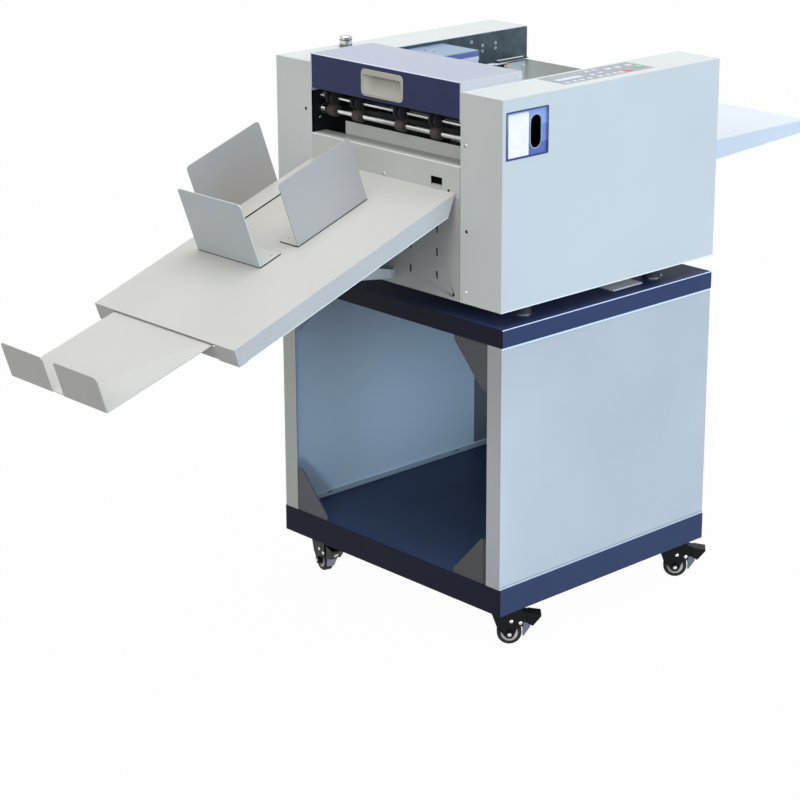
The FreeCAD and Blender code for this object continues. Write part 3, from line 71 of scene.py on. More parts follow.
def srgb(red: float, green: float, blue: float) -> Colour:
    """Linear colour of a screen colour.

    Args:
        red: Red from 0 to 255.
        green: Green from 0 to 255.
        blue: Blue from 0 to 255.

    Returns:
        The three linear parts, each from 0 to 1.
    """
    most, knee, slope, lift, power = 255.0, 0.04045, 12.92, 0.055, 2.4
    parts = []
    for part in (red, green, blue):
        share = part / most
        low = share <= knee
        parts.append(share / slope if low else ((share + lift) / (1 + lift)) ** power)
    return parts[0], parts[1], parts[2]


def shade(colour: Colour, factor: float) -> Colour:
    """The colour times a factor, at most 1 in each part."""
    return tuple(min(1.0, part * factor) for part in colour)


def solid(colour: Colour) -> tuple[float, float, float, float]:
    """The colour with full cover, as a node's input takes it."""
    return (*colour, 1.0)


def placed(label: str, data: Any) -> bpy.types.Object:
    """Puts a new object in the scene.

    Args:
        label: Name of the object.
        data: Its mesh, lamp or camera.

    Returns:
        The object.
    """
    made = bpy.data.objects.new(label, data)
    bpy.context.scene.collection.objects.link(made)
    return made


class Bench:
    """Turns the machine's millimetres into places in the frame."""

    def __init__(self) -> None:
        """Takes the machine's corner from the operator side cover."""
        self.corner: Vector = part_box("operator_side_cover")[0]

    def at(self, x: float, y: float, z: float) -> Vector:
        """Place in the frame, in metres, of a point of the machine in millimetres."""
        return self.corner + Vector((x, y, z)) * MM


BENCH = Bench()


# ---------------------------------------------------------------- materials


class Graph:
    """A node tree, filled by short calls."""

    def __init__(self, tree: bpy.types.NodeTree) -> None:
        """Takes the tree that the nodes go into."""
        self.tree = tree

    def feed(self, target: Socket, value: Any) -> None:
        """Links or sets an input.

        Args:
            target: The input.
            value: Socket that it is linked from, or its value.
        """
        if isinstance(value, Socket):
            self.tree.links.new(value, target)
        else:
            target.default_value = value

    def node(self, kind: str, values: dict[str | int, Any] | None = None,
             **settings: Any) -> bpy.types.Node:
        """Adds a node.

        Args:
            kind: Node type without its ShaderNode prefix.
            values: Input name or number with its value, or the socket it is linked from.
            **settings: Properties of the node.

        Returns:
            The new node.
        """
        made = self.tree.nodes.new("ShaderNode" + kind)
        for key, value in settings.items():
            setattr(made, key, value)
        for key, value in (values or {}).items():
            self.feed(made.inputs[key], value)
        return made

    def span(self, value: Socket, low: float, high: float, to_low: float = 0.0,
             to_high: float = 1.0) -> Socket:
        """The value mapped from one range to another, and held inside it."""
        values = {0: value, 1: low, 2: high, 3: to_low, 4: to_high}
        return self.node("MapRange", values).outputs[0]

    def blend(self, share: Any, first: Any, second: Any, note: str = "") -> Socket:
        """Colour between two colours.

        Args:
            share: Share of the second, a number or a socket.
            first: Colour or socket.
            second: Colour or socket.
            note: What the second colour is for.

        Returns:
            Socket of the mixed colour.
        """
        colour_inputs, colour_output = (6, 7), 2
        values: dict[str | int, Any] = {0: share}
        for slot, side in zip(colour_inputs, (first, second)):
            values[slot] = side if isinstance(side, Socket) else solid(side)
        made = self.node("Mix", values, data_type="RGBA", label=note)
        return made.outputs[colour_output]

    def maths(self, operation: str, first: Any, second: Any = 0.0) -> Socket:
        """Result of one sum on two numbers or sockets."""
        return self.node("Math", {0: first, 1: second}, operation=operation).outputs[0]

    def shown_rays(self) -> Socket:
        """Tells the rays that show the background.

        Returns:
            Socket that is 1 for rays of the camera and of gloss and glass.
        """
        path = self.node("LightPath").outputs
        both = self.maths("MAXIMUM", path["Is Camera Ray"], path["Is Glossy Ray"])
        return self.maths("MAXIMUM", both, path["Is Transmission Ray"])


class Skin(Graph):
    """The node tree of one material.

    Attributes:
        wide: Part of a noise's range that is stretched over all of it.
        close: A narrower such part.
    """

    wide: Pair = (0.3, 0.7)
    close: Pair = (0.35, 0.65)

    def __init__(self, label: str) -> None:
        """Starts the material.

        Args:
            label: Name of the material.
        """
        self.material = bpy.data.materials.new(label)
        self.material.use_nodes = True
        super().__init__(self.material.node_tree)
        self.shader = self.tree.nodes["Principled BSDF"]
        # Place on the piece in metres, the same at every pose.
        self.place: Socket = self.node("TexCoord").outputs["Object"]

    def stretched(self, along: Point) -> Socket:
        """Place on the piece with each axis scaled on its own."""
        return self.node("Mapping", {"Vector": self.place, "Scale": along}).outputs[0]

    def noise(self, scale: float, detail: float = 2.0, place: Socket | None = None) -> Socket:
        """Noise from 0 to 1.

        Args:
            scale: Waves per metre.
            detail: Octaves of finer noise.
            place: Where it is read, the place on the piece if not given.

        Returns:
            Socket of the noise.
        """
        values = {"Vector": place or self.place, "Scale": scale, "Detail": detail}
        return self.node("TexNoise", values).outputs["Fac"]

    def lines(self, along: Point, detail: float) -> Socket:
        """Noise drawn out into lines."""
        return self.noise(1.0, detail, self.stretched(along))

    def paint(self, colour: Any) -> None:
        """Sets the base colour, from a colour or a socket."""
        target = self.shader.inputs["Base Color"]
        self.feed(target, colour if isinstance(colour, Socket) else solid(colour))

    def rough(self, value: Any) -> None:
        """Sets the roughness, from a number or a socket."""
        self.feed(self.shader.inputs["Roughness"], value)

    def uneven(self, noise: Socket, middle: float, swing: Pair) -> None:
        """Lets the roughness follow a noise about its middle."""
        self.rough(self.span(noise, *self.wide, middle - swing[0], middle + swing[1]))

    def metal(self, share: float) -> None:
        """Sets how much of it reflects as metal."""
        self.feed(self.shader.inputs["Metallic"], share)

    def bump(self, height: Socket, depth: float) -> None:
        """Raises the surface.

        Args:
            height: Height from 0 to 1.
            depth: Height of 1 in millimetres.
        """
        values: dict[str | int, Any] = {"Height": height, "Distance": depth * MM}
        current = self.shader.inputs["Normal"]
        if current.is_linked:
            values["Normal"] = current.links[0].from_socket
        self.feed(current, self.node("Bump", values).outputs[0])


@dataclass(frozen=True)
class Coat:
    """What every finish has.

    Attributes:
        label: Name of the finish.
        colour: Linear colour.
        roughness: Middle roughness.
        swing: How far the roughness falls below and rises above its middle.
    """

    label: str
    colour: Colour
    roughness: float = 0.4
    swing: Pair = field(default=(0.04, 0.05), kw_only=True)

    def fill(self, skin: Skin) -> Socket:
        """Adds the finish's own surface.

        Args:
            skin: The material's nodes.

        Returns:
            Socket of the colour.
        """
        raise NotImplementedError

    def build(self) -> bpy.types.Material:
        """Makes the material.

        Returns:
            The material.
        """
        skin = Skin(self.label)
        skin.paint(self.fill(skin))
        return skin.material


@dataclass(frozen=True)
class PowderCoat(Coat):
    """Baked powder paint on sheet steel.

    Attributes:
        grain: Size in millimetres of its orange peel.
        depth: Height in millimetres of the peel.
        mottle: Share by which the colour varies over a panel.
        gloss: Specular level.
    """

    roughness: float = 0.42
    grain: float = 1.1
    depth: float = 0.05
    mottle: float = 0.035
    gloss: float = 0.5

    def fill(self, skin: Skin) -> Socket:
        """Adds peel, uneven gloss and flecks.

        Args:
            skin: The material's nodes.

        Returns:
            Socket of the colour.
        """
        panel, fine, strewn, dark = 4.0, 2200.0, 0.35, 0.95
        cloud, speck = skin.noise(panel, detail=3.0), skin.noise(fine, detail=1.0)
        skin.bump(skin.noise(1.0 / (self.grain * MM)), self.depth)
        skin.feed(skin.shader.inputs["Specular IOR Level"], self.gloss)
        skin.uneven(cloud, self.roughness, self.swing)
        broad = skin.blend(skin.span(cloud, *skin.wide), shade(self.colour, 1 - self.mottle),
                           shade(self.colour, 1 + self.mottle))
        flecks = skin.span(speck, *skin.close, 0.0, strewn)
        return skin.blend(flecks, broad, shade(self.colour, dark))


def under(edge: float) -> Pair:
    """Span of everything below an edge."""
    return -FAR, edge


def over(edge: float) -> Pair:
    """Span of everything above an edge."""
    return edge, FAR


@dataclass(frozen=True)
class Zone:
    """Part of a painted piece that shows another colour.

    Attributes:
        name: What is there.
        colour: Its linear colour.
        x: Low and high edge in millimetres along the machine.
        y: The same across it.
        z: The same upwards.
    """

    name: str
    colour: Colour
    x: Pair = (-FAR, FAR)
    y: Pair = (-FAR, FAR)
    z: Pair = (-FAR, FAR)

    def lay(self, skin: Skin, axes: Sequence[Socket], ground: Socket) -> Socket:
        """Lays the zone over the colours so far.

        Args:
            skin: The material's nodes.
            axes: Sockets of the three coordinates in metres.
            ground: Colour so far.

        Returns:
            Socket of the colour with the zone on it.
        """
        inside: Any = 1.0
        corners = [BENCH.at(*edges) for edges in zip(self.x, self.y, self.z)]
        for axis, start, end in zip(axes, *corners):
            above = skin.maths("GREATER_THAN", axis, start)
            below = skin.maths("LESS_THAN", axis, end)
            inside = skin.maths("MULTIPLY", skin.maths("MULTIPLY", above, below), inside)
        return skin.blend(inside, ground, self.colour, self.name)


@dataclass(frozen=True)
class ZonedCoat(PowderCoat):
    """Powder paint that is lighter or darker in some zones.

    Attributes:
        zones: The zones, each laid over the ones before it.
        lean: Degrees by which the zones slope down towards the delivery end.
        pivot: Place in millimetres that the sloping zones are measured level with.
    """

    zones: tuple[Zone, ...] = ()
    lean: float = 0.0
    pivot: Point = (0.0, 0.0, 214.0)

    def fill(self, skin: Skin) -> Socket:
        """Adds the paint and lays the zones over it.

        Args:
            skin: The material's nodes.

        Returns:
            Socket of the colour.
        """
        colour, place = super().fill(skin), skin.place
        if self.lean:
            place = skin.node("VectorRotate", {
                "Vector": place, "Center": BENCH.at(*self.pivot), "Axis": (0.0, 1.0, 0.0),
                "Angle": math.radians(self.lean)}, rotation_type="AXIS_ANGLE").outputs[0]
        axes = list(skin.node("SeparateXYZ", {0: place}).outputs)
        for zone in self.zones:
            colour = zone.lay(skin, axes, colour)
        return colour


@dataclass(frozen=True)
class PlatedSheet(Coat):
    """Zinc-plated sheet with its cloudy spangle and fine rolling lines.

    Attributes:
        dark: Share of the colour in the dark clouds.
        metallic: How much of it reflects as metal.
        rolling: Stretch of the rolling lines along each axis.
    """

    roughness: float = 0.34
    swing: Pair = field(default=(0.08, 0.1), kw_only=True)
    dark: float = 0.55
    metallic: float = 0.85
    rolling: Point = (8.0, 8.0, 900.0)

    def fill(self, skin: Skin) -> Socket:
        """Adds clouds, spangle and rolling lines.

        Args:
            skin: The material's nodes.

        Returns:
            Socket of the colour.
        """
        broad, crystal, facet, share, groove = 26.0, 90.0, 0.8, 0.35, 0.02
        cloud = skin.noise(broad, detail=6.0)
        spangle = skin.node("TexVoronoi", {"Vector": skin.place, "Scale": crystal})
        grey = skin.node("RGBToBW", {0: spangle.outputs["Color"]}).outputs[0]
        colour = skin.blend(skin.span(cloud, *skin.close), shade(self.colour, self.dark),
                            self.colour)
        line = skin.lines(self.rolling, detail=3.0)
        skin.uneven(line, self.roughness, self.swing)
        skin.bump(line, groove)
        skin.metal(self.metallic)
        bright = skin.span(grey, low=0.2, high=0.8, to_high=share)
        return skin.blend(bright, colour, shade(self.colour, facet))


@dataclass(frozen=True)
class TurnedMetal(Coat):
    """Ground or plated turned metal.

    Attributes:
        turning: Turning lines per metre along each axis.
    """

    roughness: float = 0.2
    swing: Pair = field(default=(0.06, 0.08), kw_only=True)
    turning: Point = (6.0, 1500.0, 6.0)

    def fill(self, skin: Skin) -> Socket:
        """Adds turning lines and faint clouds.

        Args:
            skin: The material's nodes.

        Returns:
            Socket of the colour.
        """
        broad, dark, groove = 60.0, 0.86, 0.008
        line = skin.lines(self.turning, detail=2.0)
        skin.uneven(line, self.roughness, self.swing)
        skin.bump(line, groove)
        skin.metal(1.0)
        cloud = skin.span(skin.noise(broad, detail=3.0), low=0.4, high=0.7)
        return skin.blend(cloud, self.colour, shade(self.colour, dark))


@dataclass(frozen=True)
class Rubber(Coat):
    """Moulded rubber with dust in its pores.

    Attributes:
        ribs: Ground ribs per metre along each axis, none if nought.
    """

    roughness: float = 0.7
    swing: Pair = field(default=(0.08, 0.1), kw_only=True)
    ribs: Point = (0.0, 0.0, 0.0)

    def fill(self, skin: Skin) -> Socket:
        """Adds dust, pores and ribs.

        Args:
            skin: The material's nodes.

        Returns:
            Socket of the colour.
        """
        grimy, pores, thick, pale = 140.0, 900.0, 0.6, 1.9
        dust = skin.noise(grimy, detail=5.0)
        skin.uneven(dust, self.roughness, self.swing)
        skin.bump(skin.noise(pores, detail=3.0), depth=0.08)
        if any(self.ribs):
            skin.bump(skin.lines(self.ribs, detail=0.0), depth=0.2)
        film = skin.span(dust, low=0.4, high=0.75, to_high=thick)
        return skin.blend(film, self.colour, shade(self.colour, pale))


@dataclass(frozen=True)
class Plastic(Coat):
    """Moulded or printed plastic.

    Attributes:
        grain: Size in millimetres of its moulded grain.
        depth: Height in millimetres of the grain.
    """

    roughness: float = 0.38
    grain: float = 0.6
    depth: float = 0.02

    def fill(self, skin: Skin) -> Socket:
        """Adds faint clouds and grain.

        Args:
            skin: The material's nodes.

        Returns:
            Socket of the colour.
        """
        broad, mottle = 35.0, 0.03
        cloud = skin.noise(broad, detail=3.0)
        skin.uneven(cloud, self.roughness, self.swing)
        skin.bump(skin.noise(1.0 / (self.grain * MM)), self.depth)
        return skin.blend(skin.span(cloud, *skin.close), shade(self.colour, 1 - mottle),
                          shade(self.colour, 1 + mottle))


# Colours that several finishes share.
SHEET = srgb(192, 194, 191)
STAND_SHEET = srgb(175, 178, 180)
# Painted shade on the delivery-facing ends of the navy band and base.
DELIVERY_SHADE = srgb(14, 15, 34)
# Painted shade for the slots in the stand's flange.
FLANGE_GAP_SHADE = srgb(52, 54, 58)
# Painted shade in the small holes of the guides' feet.
BORE_SHADE = srgb(40, 40, 40)
# Painted shadow lines under the guides' feet.
SHADOW = srgb(14, 14, 15)
FOOT_TOP = srgb(178, 176, 171)

# Places that several zones share, in degrees and millimetres.
TRAY_SLOPE = 19.7
FRONT = (-10.0, 1.0)  # The delivery face and what touches it.
LOW_FOOT = (213.0, 216.9)  # The feet of the guides, from the tray's top up.


class Finish(Enum):
    """Every finish on the machine."""

    BODY = PowderCoat("cover_paint", SHEET)
    COVER = ZonedCoat("operator_cover_paint", SHEET, zones=(
        # Painted highlight along the cover's lower edge.
        Zone("painted highlight, lower edge", srgb(230, 234, 236), y=under(0.4), z=under(2.4)),))
    PANEL = ZonedCoat("front_panel_paint", srgb(184, 184, 180), zones=(
        # Painted shadow that the tray casts on the panel's lower part.
        Zone("painted tray shadow on the lower part", srgb(160, 159, 156), FRONT, (100.0, 560.0), (-1.0, 205.0)),
        # Painted shade in the seam between the panel and the cover.
        Zone("painted shade in the cover seam", srgb(128, 130, 132), FRONT, under(113.3), (1.0, 265.0)),
        Zone("sill behind the edge", srgb(140, 141, 140), (14.0, 40.0), z=(266.4, 268.0)),
        # Painted highlight along the panel's top edge.
        Zone("painted highlight, top edge", srgb(236, 237, 235), FRONT, z=over(265.6))))
    STAND = ZonedCoat("stand_panel_paint", STAND_SHEET, mottle=0.05, zones=(
        # Painted shade on the panel's delivery-facing edge.
        Zone("delivery-facing edge in painted shade", srgb(152, 150, 150), under(3.8), over(0.6)),
        # Painted highlight along the panel's top fold.
        Zone("painted highlight along the top", srgb(232, 240, 244), y=under(0.5), z=over(-73.4)),
        # Painted shadow line in the gap above the panel's foot.
        Zone("painted shadow line by the foot", srgb(138, 146, 156), y=under(0.5), z=(-566.2, -563.6)),
        # Painted highlight along the panel's foot.
        Zone("foot", srgb(188, 194, 199), y=under(0.5), z=under(-566.2))))
    INNER = ZonedCoat("stand_inner_paint", STAND_SHEET, mottle=0.05, zones=(
        # Painted shade on the rear panel's delivery-facing edge.
        Zone("delivery-facing edge in painted shade", srgb(164, 164, 155), under(3.8), under(649.4)),
        # Painted bluish light: the rear panel's inner face is painted lighter and bluer.
        Zone("painted bluish light inside", srgb(184, 196, 208), (4.2, 616.3), under(649.4)),
        # Painted shade in the inner corner at the feed end.
        Zone("painted shade in the corner", srgb(99, 99, 101), (570.0, 616.3), under(649.4), over(-566.8)),
        # Painted highlight along the flange's bend.
        Zone("painted highlight on the bent flange", srgb(206, 215, 225), (4.2, 616.3), (646.6, 649.6),
             (-569.5, -566.6)),
        # Painted shade where the flange's two slots open.
        Zone("slot", FLANGE_GAP_SHADE, (113.0, 127.0), (637.8, 643.6), (-569.5, -567.9)),
        Zone("slot", FLANGE_GAP_SHADE, (501.0, 515.0), (637.8, 643.6), (-569.5, -567.9))))
    NAVY = ZonedCoat("stand_band_paint", srgb(49, 59, 91), 0.4, mottle=0.08, gloss=0.1, zones=(
        # Painted shade on the band's delivery end.
        Zone("delivery end", DELIVERY_SHADE, under(3.6)),
        # Painted highlight along the band's lower edge.
        Zone("lower edge", srgb(190, 200, 235), y=under(-0.9), z=under(-69.0)),
        # Painted highlight along the band's top edge.
        Zone("top edge", srgb(208, 215, 240), y=under(-0.9), z=over(-34.4))))
    BASE = ZonedCoat("stand_base_paint", srgb(47, 57, 84), 0.4, mottle=0.08, gloss=0.1, zones=(
        Zone("deck", srgb(50, 66, 98), (5.0, 615.0), (0.0, 650.0), over(-600.0)),
        # Painted shade on the base's delivery end.
        Zone("delivery end", DELIVERY_SHADE, under(3.6))))
    GUSSET = ZonedCoat("gusset_paint", srgb(80, 80, 83), 0.5, gloss=0.3, zones=(
        # Painted bluish light on the upper rear gusset.
        Zone("painted light on the rear upper gusset", srgb(104, 114, 124), y=over(500.0), z=over(-300.0)),
        # Painted shade on the upper near gusset.
        Zone("painted shade on the near upper gusset", srgb(70, 70, 73), y=under(300.0), z=over(-300.0)),
        # Painted shade on the lower near gusset.
        Zone("painted shade on the near lower gusset", srgb(62, 60, 59), y=under(300.0), z=under(-320.0)),
        # Painted shadow beside the stile's inner edge.
        Zone("painted shadow beside the stile", srgb(42, 42, 41), y=(30.0, 49.0), z=under(-320.0))))
    TRAY = ZonedCoat("tray_paint", srgb(176, 174, 169), 0.5, 0.8, lean=TRAY_SLOPE, zones=(
        # Painted highlight along the tray's lower edge.
        Zone("painted highlight, lower edge", srgb(240, 240, 238), (-560.0, 0.0), under(125.6),
             (177.0, 179.3)),))
    GUIDE = ZonedCoat("guide_paint", srgb(160, 154, 148), 0.45, 0.8, lean=TRAY_SLOPE, zones=(
        Zone("foot's top", FOOT_TOP, (-300.0, -80.0), (290.4, 542.0), LOW_FOOT),
        # Painted shadow lines in the gaps under the guides' feet.
        Zone("painted shadow across the foot", SHADOW, (-274.0, -271.0), (280.0, 350.0), LOW_FOOT),
        Zone("painted shadow along the near foot", SHADOW, (-274.0, -80.0), (280.0, 288.4),
             (213.0, 216.4)),
        Zone("painted shadow along the rear foot", SHADOW, (-286.0, -106.0), (488.0, 491.6), LOW_FOOT),
        # Painted shade where the foot has a hole.
        Zone("hole", BORE_SHADE, (-257.8, -254.6), (331.4, 334.4), (215.5, 216.9))))
    STOP = ZonedCoat("end_stop_paint", srgb(182, 186, 188), 0.45, 0.8, lean=TRAY_SLOPE, zones=(
        Zone("foot's top", FOOT_TOP, (-353.6, -290.0), (290.0, 500.0), LOW_FOOT),
        # Painted shadow lines in the gaps under the end stop's foot.
        Zone("painted shadow below the foot", SHADOW, (-360.0, -355.2), (290.0, 500.0), (213.0, 216.2)),
        Zone("painted shadow beside the foot", SHADOW, (-360.0, -290.0), (290.0, 304.2), LOW_FOOT),
        # Painted shade where the foot has a hole.
        Zone("hole", BORE_SHADE, (-318.4, -315.2), (314.4, 317.4), (215.5, 216.9))))
    TABLE = PowderCoat("table_paint", srgb(196, 201, 205), 0.4)
    FRAME = PowderCoat("side_frame_paint", srgb(14, 15, 17), 0.4, gloss=0.2)
    HOOD = ZonedCoat("hood_paint", srgb(42, 45, 80), 0.42, 0.9, 0.09, gloss=0.2, zones=(
        # Painted reflection: the navy hood's top is painted pale for its sheen.
        Zone("top", srgb(160, 163, 175), z=over(428.2)),
        # Painted highlight along the hood's top edge.
        Zone("painted highlight, top edge", srgb(226, 230, 244), under(1.3), z=over(427.4))))
    RECESS = ZonedCoat("recess_paint", srgb(107, 128, 181), 0.35, zones=(
        # Painted light: the recess is lighter in its upper part.
        Zone("upper part", srgb(136, 155, 202), z=over(352.0)),
        # Painted shade: the recess is darker in its lower part.
        Zone("lower part", srgb(79, 99, 154), z=under(318.0))))
    BLOWER = ZonedCoat("blower_paint", srgb(206, 212, 222), 0.35, zones=(
        Zone("band round the lid", srgb(96, 106, 160), z=(390.5, 401.0)),
        Zone("lid", srgb(118, 138, 160), z=over(401.0))))
    CHEEK = PowderCoat("cheek_paint", srgb(183, 179, 179))
    PALE = PowderCoat("side_plate_paint", srgb(186, 195, 190), 0.4)
    LINE = PowderCoat("recess_line_paint", srgb(34, 42, 96), 0.4)
    ZINC = PlatedSheet("plated_liner", srgb(79, 91, 97))
    BRIGHT_ZINC = PlatedSheet("plated_bright", srgb(196, 204, 210), dark=0.8)
    CHROME = TurnedMetal("shaft_chrome", srgb(214, 214, 212), 0.16)
    DULL = TurnedMetal("knob_dull", srgb(116, 124, 118), 0.4)
    SPRING = TurnedMetal("spring_steel", srgb(110, 119, 132), 0.3)
    STEEL = TurnedMetal("ground_steel", srgb(170, 170, 168), 0.3)
    ROLLER = Rubber("roller_rubber", srgb(58, 50, 47), ribs=(500.0, 4.0, 500.0))
    TYRE = Rubber("castor_tyre", srgb(16, 16, 17), 0.85)
    FOOT = Rubber("rubber_foot", srgb(40, 40, 42))
    IVORY = Plastic("handle_ivory", srgb(168, 164, 154), 0.35)
    CORE = Plastic("wheel_core", srgb(196, 184, 168), 0.35)
    CREAM = Plastic("cream_acetal", srgb(222, 186, 150), 0.35)
    KEYPAD = Plastic("keypad_plate", srgb(138, 140, 144), 0.4)
    KEY = Plastic("key_white", srgb(188, 192, 200), 0.3)
    MARK = Plastic("display_frame", srgb(150, 153, 160), 0.3)
    GREEN = Plastic("start_green", srgb(104, 180, 134), 0.3)
    RED = Plastic("stop_red", srgb(206, 96, 100), 0.3)
    WINDOW = Plastic("display_window", srgb(186, 191, 206), 0.12, depth=0.0)
    CARD = Plastic("card_white", srgb(238, 228, 219), 0.45)
    GEAR = Plastic("gear_acetal", srgb(222, 219, 208))
    CASTOR = PowderCoat("castor_coat", srgb(10, 10, 11), 0.4, 0.7, gloss=0.15)
    MOTOR = PowderCoat("motor_coat", srgb(28, 29, 31), 0.4)

    def material(self) -> bpy.types.Material:
        """Makes the finish's material the first time it is asked for.

        Returns:
            The material.
        """
        if self not in WARDROBE:
            WARDROBE[self] = self.value.build()
        return WARDROBE[self]


WARDROBE: dict[Finish, bpy.types.Material] = {}


def dress(finish: Finish, *nodes: str) -> None:
    """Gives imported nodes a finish.

    Args:
        finish: The finish.
        *nodes: Names of the nodes.
    """
    for name in nodes:
        slots = frame["nodes"][name].data.materials
        slots.clear()
        slots.append(finish.material())
        LOG.info("%s wears %s", name, finish.value.label)


def soften(radius: float, *nodes: str) -> None:
    """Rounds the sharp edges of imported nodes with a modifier.

    Args:
        radius: Radius in millimetres.
        *nodes: Names of the nodes.
    """
    joint, segments, sharp = 0.002, 2, 40.0
    for name in nodes:
        node = frame["nodes"][name]
        weld = node.modifiers.new("joined", "WELD")
        weld.merge_threshold = joint * MM
        bevel = node.modifiers.new("edges", "BEVEL")
        bevel.width = radius * MM
        bevel.segments = segments
        bevel.limit_method = "ANGLE"
        bevel.angle_limit = math.radians(sharp)
        bevel.harden_normals = True


# ---------------------------------------------------------------- studio


@dataclass(frozen=True)
class FarLamp:
    """Soft lamp that lights everything from one direction.

    Attributes:
        label: Name of the lamp.
        toward: Direction from the object to the lamp.
        strength: Its strength.
        colour: Its linear colour.
        softness: Degrees across which it is spread.
    """

    label: str
    toward: Point
    strength: float
    colour: Colour
    softness: float

    def build(self) -> None:
        """Hangs the lamp."""
        data = bpy.data.lights.new(self.label, "SUN")
        data.energy, data.color = self.strength, self.colour
        data.angle = math.radians(self.softness)
        turn = Vector(self.toward).to_track_quat("Z", "Y")
        placed(self.label, data).rotation_euler = turn.to_euler()


@dataclass(frozen=True)
class BayLamp:
    """Narrow lamp that fills the stand's open bay.

    Attributes:
        place: Place of the lamp in millimetres of the machine.
        target: Place that it shines on.
        size: Side of the lamp in metres.
        strength: Its strength in watts.
        spread: Degrees of its cone.
        colour: Its linear colour.
    """

    place: Point = (-1400.0, -1050.0, -400.0)
    target: Point = (400.0, 649.0, -430.0)
    size: float = 0.35
    strength: float = 0.36
    spread: float = 15.0
    colour: Colour = (0.59, 0.79, 1.0)

    def build(self) -> None:
        """Hangs the lamp."""
        data = bpy.data.lights.new("bay_fill", "AREA")
        data.shape, data.size = "SQUARE", self.size
        data.energy, data.color = self.strength, self.colour
        data.spread = math.radians(self.spread)
        lamp = placed("bay_fill", data)
        lamp.location = BENCH.at(*self.place)
        away = BENCH.at(*self.place) - BENCH.at(*self.target)
        lamp.rotation_euler = away.to_track_quat("Z", "Y").to_euler()


@dataclass
class Studio:
    """Floor, lamps and camera.

    Attributes:
        heading: Degrees from +X towards +Y that the camera looks along.
        tilt: Degrees that it looks down.
        roll: Degrees that it is turned about its own axis.
        eye: Place of the lens in the frame, in metres.
        lens: Focal length in millimetres on the sensor.
        sensor: Width of the sensor in millimetres.
        shift: Sideways and upward shift as shares of the frame.
        reach: How far the camera sees, in metres.
        floor_size: Side of the floor in metres.
        floor_colour: Linear colour of the floor under the light.
        floor_matt: Roughness of the floor.
        floor_glow: Share of white that the floor shows.
        sky: Linear colour of the room's light.
        ambient: Strength of the room's light on the object.
        lamps: The lamps.
    """

    heading: float = 46.724
    tilt: float = 17.787
    roll: float = 0.092
    eye: Point = (-3.18305, -3.33100, 1.99131)
    lens: float = 106.1
    sensor: float = 36.0
    shift: Pair = (-0.0258, -0.0463)
    reach: float = 60.0
    floor_size: float = 24.0
    floor_colour: Colour = srgb(140, 141, 142)
    floor_matt: float = 0.9
    floor_glow: float = 0.98
    sky: Colour = (0.96, 0.98, 1.0)
    ambient: float = 0.3
    lamps: tuple[FarLamp | BayLamp, ...] = (
        FarLamp("overhead", (-0.12, -0.2, 1.0), 2.9, (1.0, 1.0, 1.0), 60.0),
        FarLamp("operator_side", (0.15, -1.0, 0.25), 2.6, (0.5, 0.72, 1.0), 50.0),
        FarLamp("front_fill", (-0.66, -0.68, 0.2), 0.55, (0.8, 0.92, 1.0), 40.0),
        FarLamp("delivery_side", (-0.9, -0.15, 0.65), 0.72, (1.0, 0.97, 0.92), 30.0),
        BayLamp())

    def camera(self) -> None:
        """Makes the camera and sets it as the scene's."""
        data = bpy.data.cameras.new("camera")
        data.lens, data.sensor_width = self.lens, self.sensor
        data.shift_x, data.shift_y = self.shift
        data.clip_end = self.reach
        camera = placed("camera", data)
        level = math.radians(90.0)
        turn = Euler((level - math.radians(self.tilt), 0.0, math.radians(self.heading) - level))
        spin = Matrix.Rotation(math.radians(-self.roll), 4, "Z")
        camera.matrix_world = Matrix.Translation(self.eye) @ turn.to_matrix().to_4x4() @ spin
        bpy.context.scene.camera = camera

    def floor(self) -> None:
        """Lays the pale floor, whose own white shows to the camera and in gloss."""
        half, white = self.floor_size / 2, (1.0, 1.0, 1.0)
        mesh = bpy.data.meshes.new("floor")
        corners = [(-half, -half, 0.0), (half, -half, 0.0), (half, half, 0.0), (-half, half, 0.0)]
        mesh.from_pydata(corners, [], [(0, 1, 2, 3)])
        floor = placed("floor", mesh)
        skin = Skin("pale_floor")
        skin.paint(self.floor_colour)
        skin.rough(self.floor_matt)
        share = skin.maths("MULTIPLY", skin.shown_rays(), self.floor_glow)
        glow = skin.node("Emission", {"Color": solid(white), "Strength": 1.0})
        mixed = skin.node("MixShader", {0: share, 1: skin.shader.outputs[0], 2: glow.outputs[0]})
        skin.feed(skin.tree.nodes["Material Output"].inputs[0], mixed.outputs[0])
        mesh.materials.append(skin.material)

    def world(self) -> None:
        """Makes the even light of the room, which the camera sees as white."""
        world = bpy.data.worlds.new("room")
        world.use_nodes = True
        bpy.context.scene.world = world
        graph = Graph(world.node_tree)
        sky = graph.tree.nodes["Background"]
        graph.feed(sky.inputs["Color"], solid(self.sky))
        level = graph.span(graph.shown_rays(), 0.0, 1.0, self.ambient, 1.0)
        graph.feed(sky.inputs["Strength"], level)

    def build(self) -> None:
        """Sets up the whole studio."""
        self.camera()
        self.floor()
        self.world()
        for lamp in self.lamps:
            lamp.build()
        bpy.context.scene.view_settings.view_transform = "Standard"


# ---------------------------------------------------------------- pieces


